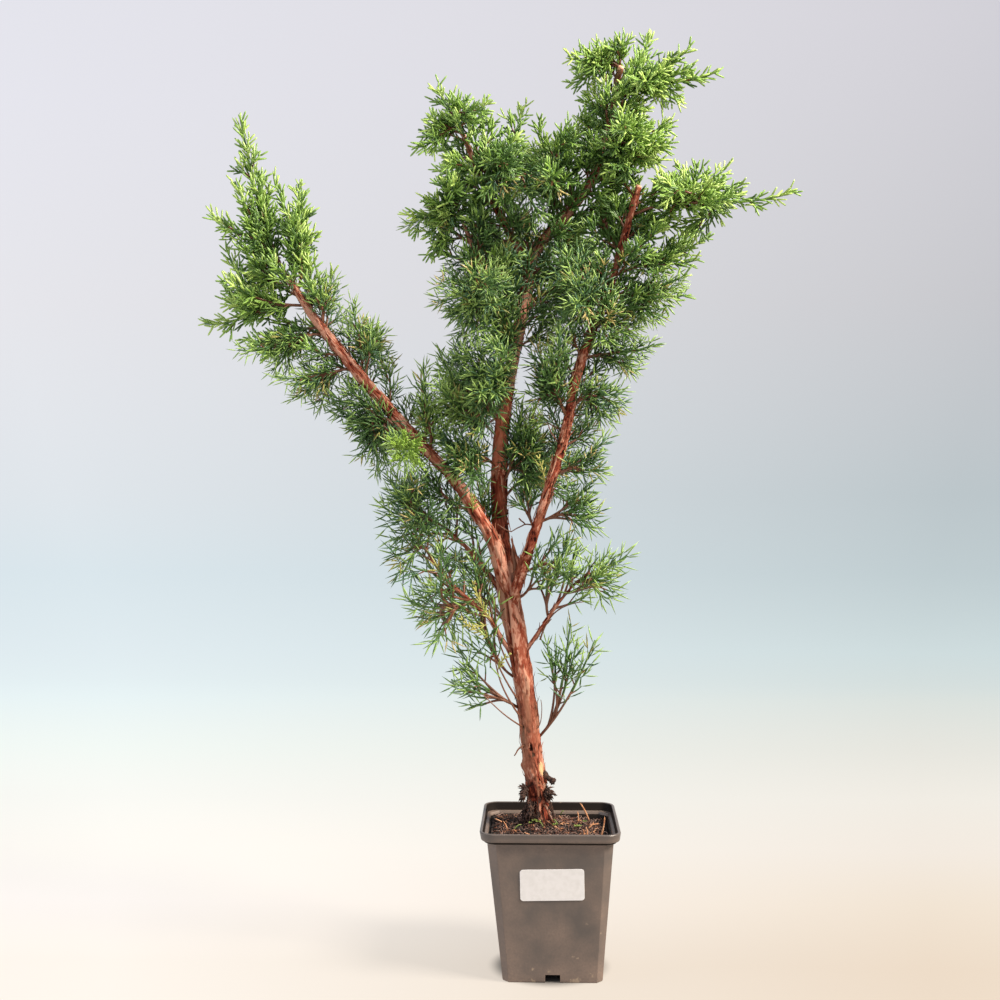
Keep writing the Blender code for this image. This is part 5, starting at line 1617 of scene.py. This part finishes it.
# %% Straw, roots and seedlings
# Each straw's foot, tip and half-width.
STRAWS = (
    ((33.3, 21.6, 111.0), (25.0, 21.4, 127.5), 0.85),
    ((23.1, 16.8, 111.0), (23.1, 16.9, 121.0), 0.8),
    ((40.3, -19.7, 109.0), (43.6, -19.5, 126.0), 0.75),
    ((40.5, 8.2, 113.0), (32.0, 7.0, 112.0), 0.7),
    ((26.9, -20.1, 110.0), (26.0, -20.2, 116.0), 0.6),
    ((29.5, -17.9, 110.0), (28.7, -18.0, 117.0), 0.7),
    ((31.0, 0.0, 111.0), (36.0, 2.0, 116.0), 0.6),
    ((-36.9, 18.4, 113.0), (-42.0, 15.0, 117.0), 0.6),
    ((-34.0, -12.2, 111.0), (-37.5, -12.5, 120.0), 0.75),
    ((-38.5, -6.0, 117.0), (-45.0, -3.0, 119.5), 0.6),
    ((6.2, -7.7, 112.0), (-3.2, -7.4, 119.5), 0.7),
    ((11.0, -16.0, 111.0), (3.0, -14.0, 117.0), 0.6),
    ((-14.0, -24.0, 110.5), (-21.0, -23.0, 113.5), 0.6),
    ((-3.1, -4.8, 114.0), (-9.1, -5.2, 119.8), 0.5),
)
GREEN_STEMS = (
    ((-29.5, -18.0, 113.0), (-22.0, -16.5, 118.0), 0.5),
    ((-9.5, -9.0, 119.0), (-4.0, -12.0, 112.5), 0.4),
    ((2.0, -4.0, 119.0), (7.0, -8.0, 115.0), 0.5),
    ((9.0, 12.0, 118.5), (12.0, 11.0, 122.0), 0.5),
)
# Where each seedling stands, and how long its leaves are.
SEEDLINGS = (
    (-12.5, -6.5, 3.0), (-9.5, -8.5, 2.6), (-15.5, -7.0, 2.2), (21.6, -4.6, 2.8), (23.5, -3.6, 2.6),
    (4.1, -6.9, 2.6), (29.4, 22.2, 2.4), (-9.9, 26.0, 3.2),
)


def straws(table, bow):
    """Stout straws from a foot in the peat to a tip, bowed by 4t(1 - t) times the way given."""
    feet, tips, widths = (np.array(column, float) for column in zip(*table))
    t = np.linspace(0, 1, 8)[None, :, None]
    lines = feet[:, None] + (tips - feet)[:, None] * t + np.array(bow) * t * (1 - t) * 4
    return spindles(lines, widths[:, None] * np.linspace(1.0, 0.7, 6), 6)


def seedling_leaves():
    """Five small leaves in a star for each seedling, each a spindle that is held out and up."""
    rows = np.repeat(np.array(SEEDLINGS), 5, axis=0)
    turn = 2 * math.pi * np.arange(len(rows)) / 5
    out = np.stack([np.cos(turn), np.sin(turn), np.full(len(rows), 0.5)], 1)
    foot = np.column_stack([rows[:, :2], soil_height(*rows[:, :2].T) + 2.6])
    t = np.linspace(0, 1, 4)[None, :, None]
    lines = foot[:, None] + out[:, None] * rows[:, 2, None, None] * t
    return spindles(lines, np.full((len(rows), 2), 0.55), 4)


straw = earth_material("dry_straw", ((0.3, "#a46b4a"), (0.55, "#c18d68"), (0.8, "#dfb591")), 4.0)
straw_shapes = [straws(STRAWS, (0.8, 0.3, 0.0)), fibres(60, 3.0, 8.0, 0.42, 6.0)]
keep(put_mesh("straw_bits", *joined(straw_shapes)), straw, "soil")
green_shapes = [seedling_leaves(), straws(GREEN_STEMS, (0.0, -1.0, 2.2))]
keep(put_mesh("seedlings", *joined(green_shapes)), leaf_material("seedling_leaf", "#74873f"), "foliage")

# %% [markdown]
# The foot of the trunk is ragged: torn flakes and clods hang on it above the peat, with dead roots between
# them, and the trunk keeps the stubs of lost twigs. They are few, so their places come from a table.

# %% Stubs, dead twigs and the litter round the foot
# Three points of each stub or twig, and its width at its foot and tip.
SMALL_WOOD = (
    (((-20, -1, 179), (-25, -3, 176), (-28.8, -4, 170.5)), 0.9, 0.5),
    (((-27.5, -6, 319), (-29.4, -9, 334), (-31.0, -10, 348.5)), 2.6, 0.25),
    (((-5, -3, 131), (-1, -6, 126), (2.5, -8, 117)), 1.2, 0.7),
    (((-42.5, -9.2, 358.5), (-37.5, -10, 355.4), (-31.2, -10, 352.3)), 0.55, 0.45),
    (((-31.2, -10, 352.3), (-25.6, -9.6, 355.6), (-20.4, -9, 358.2)), 0.45, 0.6),
    (((-20.4, -9, 358.2), (-16, -8.8, 358.2), (-10.2, -8.2, 357.4)), 0.6, 0.75),
    (((-19.6, -9, 358.2), (-22.4, -10, 361), (-24.8, -10, 363)), 0.6, 0.7),
    (((-7.8, -4.2, 264.7), (5.1, -3.9, 287.4), (27.8, -3.2, 295.4)), 0.8, 0.4),
    (((26.6, -10, 492.6), (32, -12, 494), (37, -13, 494.2)), 0.7, 0.5),
    (((15.4, -11, 466.2), (8.2, -13.8, 479), (2.6, -13.9, 488.6)), 0.7, 0.4),
    (((7.3, -13, 423.6), (2, -15, 431), (-2.3, -16.1, 440.4)), 0.7, 0.4),
    (((9, -12, 398), (17, -14, 403), (27.4, -14.2, 406)), 0.8, 0.5),
    (((-21.5, -2, 193.6), (-35.9, -13, 205.3), (-57.6, -13.6, 225.4)), 0.7, 0.45),
    (((-21.5, -2, 199), (-38, -10, 228), (-46, -12, 262)), 0.9, 0.5),
    (((-22, -2, 211), (-41, -8, 244), (-55, -10, 290)), 0.9, 0.5),
    (((-25, -2, 231), (-40, -8, 262), (-44, -12, 300)), 0.8, 0.5),
    (((-9.5, -2, 193), (-6.5, -3, 203), (-7.2, -3, 216)), 0.45, 0.3),
    (SAWN_STUB, 2.3, 2.5),
)
TORN_STUB = (((-7.5, 4, 156), (-1.5, 1.0, 152.8), (3.2, -0.8, 149.8)), 2.9, 2.0)
# Each clod: where it hangs, which way it sticks out, its reach and its flakes.
CLODS = (
    (-18.6, -0.5, 141.0, -1.0, 8.6, 64), (-3.4, 0.0, 140.5, 1.0, 8.6, 56), (0.8, 0.0, 150.0, 0.7, 4.4, 26),
    (-15.0, -3.0, 128.0, -0.2, 8.5, 90),
)
CLOD_SHAPE = (0.1, 0.3, 0.24)
HANGING = 76
# Three points of each shoot's stem, its pairs of leaves and their length.
PALE_SHOOTS = (
    (((-61.7, -17, 367.5), (-61.4, -20, 374.0), (-61.8, -22, 379.6)), 4, 7.0),
    (((-45.0, -15, 279.2), (-53.6, -20, 292.5), (-60.6, -22, 310.0)), 7, 7.0),
    (((-44.0, -15, 268.0), (-57.0, -20, 273.0), (-69.7, -22, 282.5)), 7, 6.0),
    (((-49.0, -16, 278.4), (-58.0, -20, 277.0), (-66.8, -21, 277.8)), 5, 5.0),
    (((-42.0, -12, 240.0), (-39.0, -16, 248.0), (-33.4, -18, 254.0)), 5, 5.5),
    (((-3.2, -13, 389.5), (-5.3, -18, 400.0), (-8.6, -20, 410.5)), 4, 7.0),
    (((-62.0, -18, 411.0), (-72.0, -23, 413.6), (-83.0, -24, 412.6)), 5, 6.0),
)
FRESH_MIDDLE, FRESH_FOOT = np.array([-107.0, -77.0, 416.5]), np.array([-111.0, -66.0, 413.0])
FRESH_REACH, FRESH_SHOOTS = 11.0, 24
FRESH_SHAPE = (0.7, 0.35, 0.7)
SHOOT_WIDTH = 0.62

# %% [markdown]
# A parabola through three points is enough for a stub, a twig or a shoot's stem. Torn flakes and dead roots
# are thrown at random round the places given.

# %% Growing the small wood
def through(points, t):
    """Places at the shares t on the parabola through three points, and the directions there."""
    start, middle, end = (np.array(point, float) for point in points)
    slope, bend = 4 * middle - 3 * start - end, 2 * (start + end - 2 * middle)
    return start + t * slope + t**2 * bend, unit(slope + 2 * t * bend)


def small_wood(row):
    """One stub or dead twig, with a little crook in it."""
    points, foot, tip = row
    t = np.linspace(0, 1, 12)[:, None]
    line = through(points, t)[0] + 0.35 * foot * np.sin(t * (9.0, 13.0, 7.0)) * np.sqrt(t)
    return stems(line[None], foot, tip, 6)


def clod(x, y, z, side, reach, count):
    """Torn flakes that stick out from the trunk to one side and droop, thinner away from it."""
    aside = np.clip(dice.normal(size=(count, 3)), -1.5, 1.5) * reach * CLOD_SHAPE
    middle = np.array([x, y, z]) + aside
    out = unit(dice.normal(size=(count, 3)) * (0.4, 0.7, 0.8) + (side, -0.1, -0.3))
    length = reach * spread(count, 0.3, 1.05)[:, None, None] ** 1.6
    t = np.linspace(0, 1, 5)[None, :, None]
    lines = middle[:, None] + out[:, None] * length * t - UP * length * 0.25 * t**2
    return spindles(lines, spread(count * 3, 0.35, 1.15).reshape(count, 3), 5)


def hanging_roots():
    """Thin dead roots from the trunk's foot down into the peat, most of them on its left."""
    turn = math.pi / 2 + dice.normal(size=HANGING) * 1.4
    out = np.stack([-np.sin(turn), np.cos(turn), np.zeros(HANGING)], 1)
    top = np.column_stack([-9.5 + 8.6 * out[:, 0], 6 + 8.6 * out[:, 1], spread(HANGING, 119, 139)])
    foot = top + out * spread(HANGING, 1, 10)[:, None]
    foot[:, 2] = soil_height(foot[:, 0], foot[:, 1]) - 0.5
    t = np.linspace(0, 1, 8)[None, :, None]
    lines = top[:, None] + (foot - top)[:, None] * t + out[:, None] * 3.0 * t * (1 - t)
    lines[:, 1:-1] += dice.normal(size=(HANGING, 6, 3)) * 0.45
    return spindles(lines, np.linspace(0.55, 0.3, 6) * np.ones((HANGING, 1)), 4)


def shoot(row):
    """A single shoot: its stem, and pairs of leaves that lean forward and get shorter towards its tip."""
    points, pairs, reach = row
    stem, _ = through(points, np.linspace(0, 1, 6)[:, None])
    share = np.repeat(np.linspace(0.2, 1.0, pairs), 2)[:, None]
    feet, ahead = through(points, share)
    side = np.tile([[1.0], [-1.0]], (pairs, 1)) * unit(np.cross(ahead, (0.0, 1.0, 0.0)))
    way = unit(0.8 * ahead + (0.75 - 0.45 * share) * side + dice.normal(size=ahead.shape) * 0.16)
    t = np.linspace(0, 1, 6)[None, :, None]
    leaves = feet[:, None] + way[:, None] * t * reach * (1.1 - 0.45 * share[:, None])
    lines = np.concatenate([stem[None], leaves])
    return spindles(lines, np.full((len(lines), 4), SHOOT_WIDTH), 4)


def fresh_rows():
    """Short shoots that fan out from one foot over a round tuft."""
    aside = np.clip(dice.normal(size=(FRESH_SHOOTS, 3)), -2, 2) * FRESH_REACH * FRESH_SHAPE
    tips = FRESH_MIDDLE + aside
    feet = FRESH_FOOT + 0.35 * (tips - FRESH_FOOT)
    return [((foot, 0.5 * (foot + tip) + UP, tip), 5, 4.6) for foot, tip in zip(feet, tips)]


dead_wood = joined([small_wood(row) for row in SMALL_WOOD])
keep(put_mesh("dead_twigs", *dead_wood), twig_bark, "bark")
for name, rows, colour in (("pale", PALE_SHOOTS, "#a8a65a"), ("fresh", fresh_rows(), "#7f9f3c")):
    shoots = put_mesh(name + "_shoots", *joined([shoot(row) for row in rows]))
    keep(shoots, leaf_material(name + "_leaf", colour), "foliage")
litter = earth_material("foot_litter", ((0.3, "#1b110e"), (0.55, "#3d2820"), (0.75, "#7f5a49")), 2.2)
clods = [clod(*row) for row in CLODS]
keep(put_mesh("foot_litter", *joined([*clods, hanging_roots(), small_wood(TORN_STUB)])), litter, "bark")

# %% [markdown]
# The stage is a photographer's paper sweep: one sheet, floor and wall, that shades from cream under the pot
# through pale blue to lavender. Most of its colour is a glow that is painted light: it glows a little by
# itself, so the plant can keep deep shade without the wall turning grey. Two ramps of this glow run along
# it, a lighter one for its left and a darker, warmer one for its right, blended across a fan from the front,
# as painted light that falls off to the right. Right round the pot the glow fades, a painted shadow under
# it.

# %% Paper sweep
SWEEP_HALF, SWEEP_FRONT, SWEEP_BACK, SWEEP_TOP = 2600.0, -2600.0, 1500.0, 3600.0
SWEEP_RADIUS = 700.0
SWEEP_GLOW = 0.9
SWEEP_PAPER = "#5c5a58"
SWEEP_LENGTH = 4.0
# The glow's colours, painted light: lighter on the left and darker, warmer on the right.
LEFT_STOPS = (
    (0.0, "#f0e9e0"), (0.04, "#faf4ef"), (0.085, "#f8f5ee"), (0.145, "#eff1ec"), (0.225, "#e9f2ee"),
    (0.345, "#e1eff1"), (0.45, "#dae8ee"), (0.55, "#d3e2ea"), (0.63, "#dae2e9"), (0.77, "#e2e3ea"),
    (0.9, "#e5e6f0"),
)
RIGHT_STOPS = (
    (0.0, "#cebca7"), (0.04, "#d5c8b7"), (0.085, "#d9d2c9"), (0.145, "#dad8d1"), (0.225, "#d3d5cf"),
    (0.345, "#cdd6d3"), (0.45, "#c0d2d6"), (0.55, "#aec0c7"), (0.63, "#a9b8c0"), (0.77, "#b8bbc3"),
    (0.95, "#c7c7d1"),
)
FAN_START, FAN_NEAREST = 1.1, 0.5
FAN_EDGES = (-0.33, 0.28)
POT_SHADE = (0.034, 0.052)


def paper_sweep():
    """A grid across the floor, round a quarter turn and up the wall."""
    across = np.linspace(-SWEEP_HALF, SWEEP_HALF, 3)
    turn = np.linspace(0, math.pi / 2, 24)
    depth = np.r_[SWEEP_FRONT, SWEEP_BACK + SWEEP_RADIUS * np.sin(turn), SWEEP_BACK + SWEEP_RADIUS]
    height = np.r_[0, SWEEP_RADIUS * (1 - np.cos(turn)), SWEEP_TOP]
    grid = np.stack(np.broadcast_arrays(across[:, None], depth[None], height[None]), -1)
    rows, columns = grid.shape[:2]
    row, column = np.meshgrid(np.arange(rows - 1), np.arange(columns - 1), indexing="ij")
    corner = (row * columns + column).ravel()
    faces = np.stack([corner, corner + columns, corner + columns + 1, corner + 1], 1)
    return put_mesh("paper_sweep", grid.reshape(-1, 3), faces)


sweep_paper, place = start_material("sweep_paper")
axes = add_node(sweep_paper, "SeparateXYZ", {"Vector": place}).outputs
along_it = add_node(sweep_paper, "Math", {0: axes["Y"], 1: axes["Z"]}, operation="ADD")
level = add_node(sweep_paper, "MapRange", {"Value": along_it, "From Max": SWEEP_LENGTH})
left_shades = add_node(sweep_paper, "ValToRGB", {"Fac": level}, stops=LEFT_STOPS)
right_shades = add_node(sweep_paper, "ValToRGB", {"Fac": level}, stops=RIGHT_STOPS)
from_start = add_node(sweep_paper, "Math", {0: along_it, 1: FAN_START}, operation="ADD")
away = add_node(sweep_paper, "Math", {0: from_start, 1: FAN_NEAREST}, operation="MAXIMUM")
fan = add_node(sweep_paper, "Math", {0: axes["X"], 1: away}, operation="DIVIDE")
side = add_node(sweep_paper, "MapRange", {"Value": fan, "From Min": FAN_EDGES[0], "From Max": FAN_EDGES[1]})
shaded = add_node(
    sweep_paper, "Mix", {"Factor": side, "A": left_shades, "B": right_shades}, data_type="RGBA"
)
# The glow fades round the pot: a painted shadow.
from_pot = add_node(sweep_paper, "VectorMath", {0: place}, operation="LENGTH").outputs["Value"]
glow = add_node(
    sweep_paper, "MapRange",
    {"Value": from_pot, "From Min": POT_SHADE[0], "From Max": POT_SHADE[1], "To Max": SWEEP_GLOW},
    interpolation_type="SMOOTHSTEP",
)
end_material(
    sweep_paper,
    {
        "Base Color": linear(SWEEP_PAPER),
        "Roughness": 0.9,
        "Emission Color": shaded.outputs["Result"],
        "Emission Strength": glow,
    },
)
stage = paper_sweep()
stage.data.materials.append(sweep_paper)

# %% [markdown]
# The sun comes from the right, a little in front and above, and the white room fills the rest. One strong
# light for the sun and large weak ones for the room keep the needles crisp, bright at the tips and dark
# inside. A narrow spot, as a snoot on a lamp gives, is the shaft of sun on the trunk's bare middle. The
# world lights the tree weakly, but the camera sees it bright, so the room above the sweep looks pale.

# %% Lights
ROOM_LIGHT, WALL_SEEN = 0.22, 0.85
SNOOT_PLACE, SNOOT_AIM = (300.0, -950.0, 560.0), (-38.0, 8.0, 437.0)
SNOOT_WATTS, SNOOT_DEGREES = 16.0, 5.5
TREE_MIDDLE = (0.0, 0.0, 380.0)
# Each soft light's place, watts, colour and the side of its square in metres.
AREA_LIGHTS = (
    ("sun", (1450, -680, 1650), 110, "#fff3e2", 0.7),
    ("room_left", (-1700, -350, 800), 13, "#f3f6ff", 1.2),
    ("room_front", (-150, -1900, 1000), 9, "#f7f6fa", 1.6),
    ("room_top", (-200, 100, 2000), 9, "#f2f5ff", 1.4),
)


def put_light(kind, name, place, watts, colour, aim=TREE_MIDDLE):
    """A light at a place, turned towards a point of the tree."""
    light = bpy.data.objects.new(name, bpy.data.lights.new(name, kind))
    light.data.energy = watts
    light.data.color = linear(colour)[:3]
    light.location = Vector(place) * MM
    light.rotation_euler = (Vector(aim) - Vector(place)).to_track_quat("-Z", "Y").to_euler()
    bpy.context.scene.collection.objects.link(light)
    return light.data


for name, place, watts, colour, size in AREA_LIGHTS:
    put_light("AREA", name, place, watts, colour).size = size
snoot = put_light("SPOT", "snoot", SNOOT_PLACE, SNOOT_WATTS, "#fff0e0", SNOOT_AIM)
snoot.spot_size, snoot.spot_blend, snoot.shadow_soft_size = math.radians(SNOOT_DEGREES), 1.0, 0.05
print("lights", len(bpy.data.lights))
world = bpy.data.worlds.new("studio")
world.use_nodes = True
world.node_tree.nodes["Background"].inputs["Color"].default_value = linear("#e4eaf0")
seen = add_node(world, "LightPath", {}).outputs["Is Camera Ray"]
strength = add_node(
    world, "Math", {0: seen, 1: WALL_SEEN - ROOM_LIGHT, 2: ROOM_LIGHT}, operation="MULTIPLY_ADD"
)
world.node_tree.links.new(strength.outputs[0], world.node_tree.nodes["Background"].inputs["Strength"])
bpy.context.scene.world = world
bpy.context.scene.view_settings.view_transform = "Standard"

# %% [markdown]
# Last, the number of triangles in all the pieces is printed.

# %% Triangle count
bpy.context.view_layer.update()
pieces = [obj for obj in bpy.data.objects if obj.type == "MESH"]
print("triangles", sum(len(polygon.vertices) - 2 for obj in pieces for polygon in obj.data.polygons))
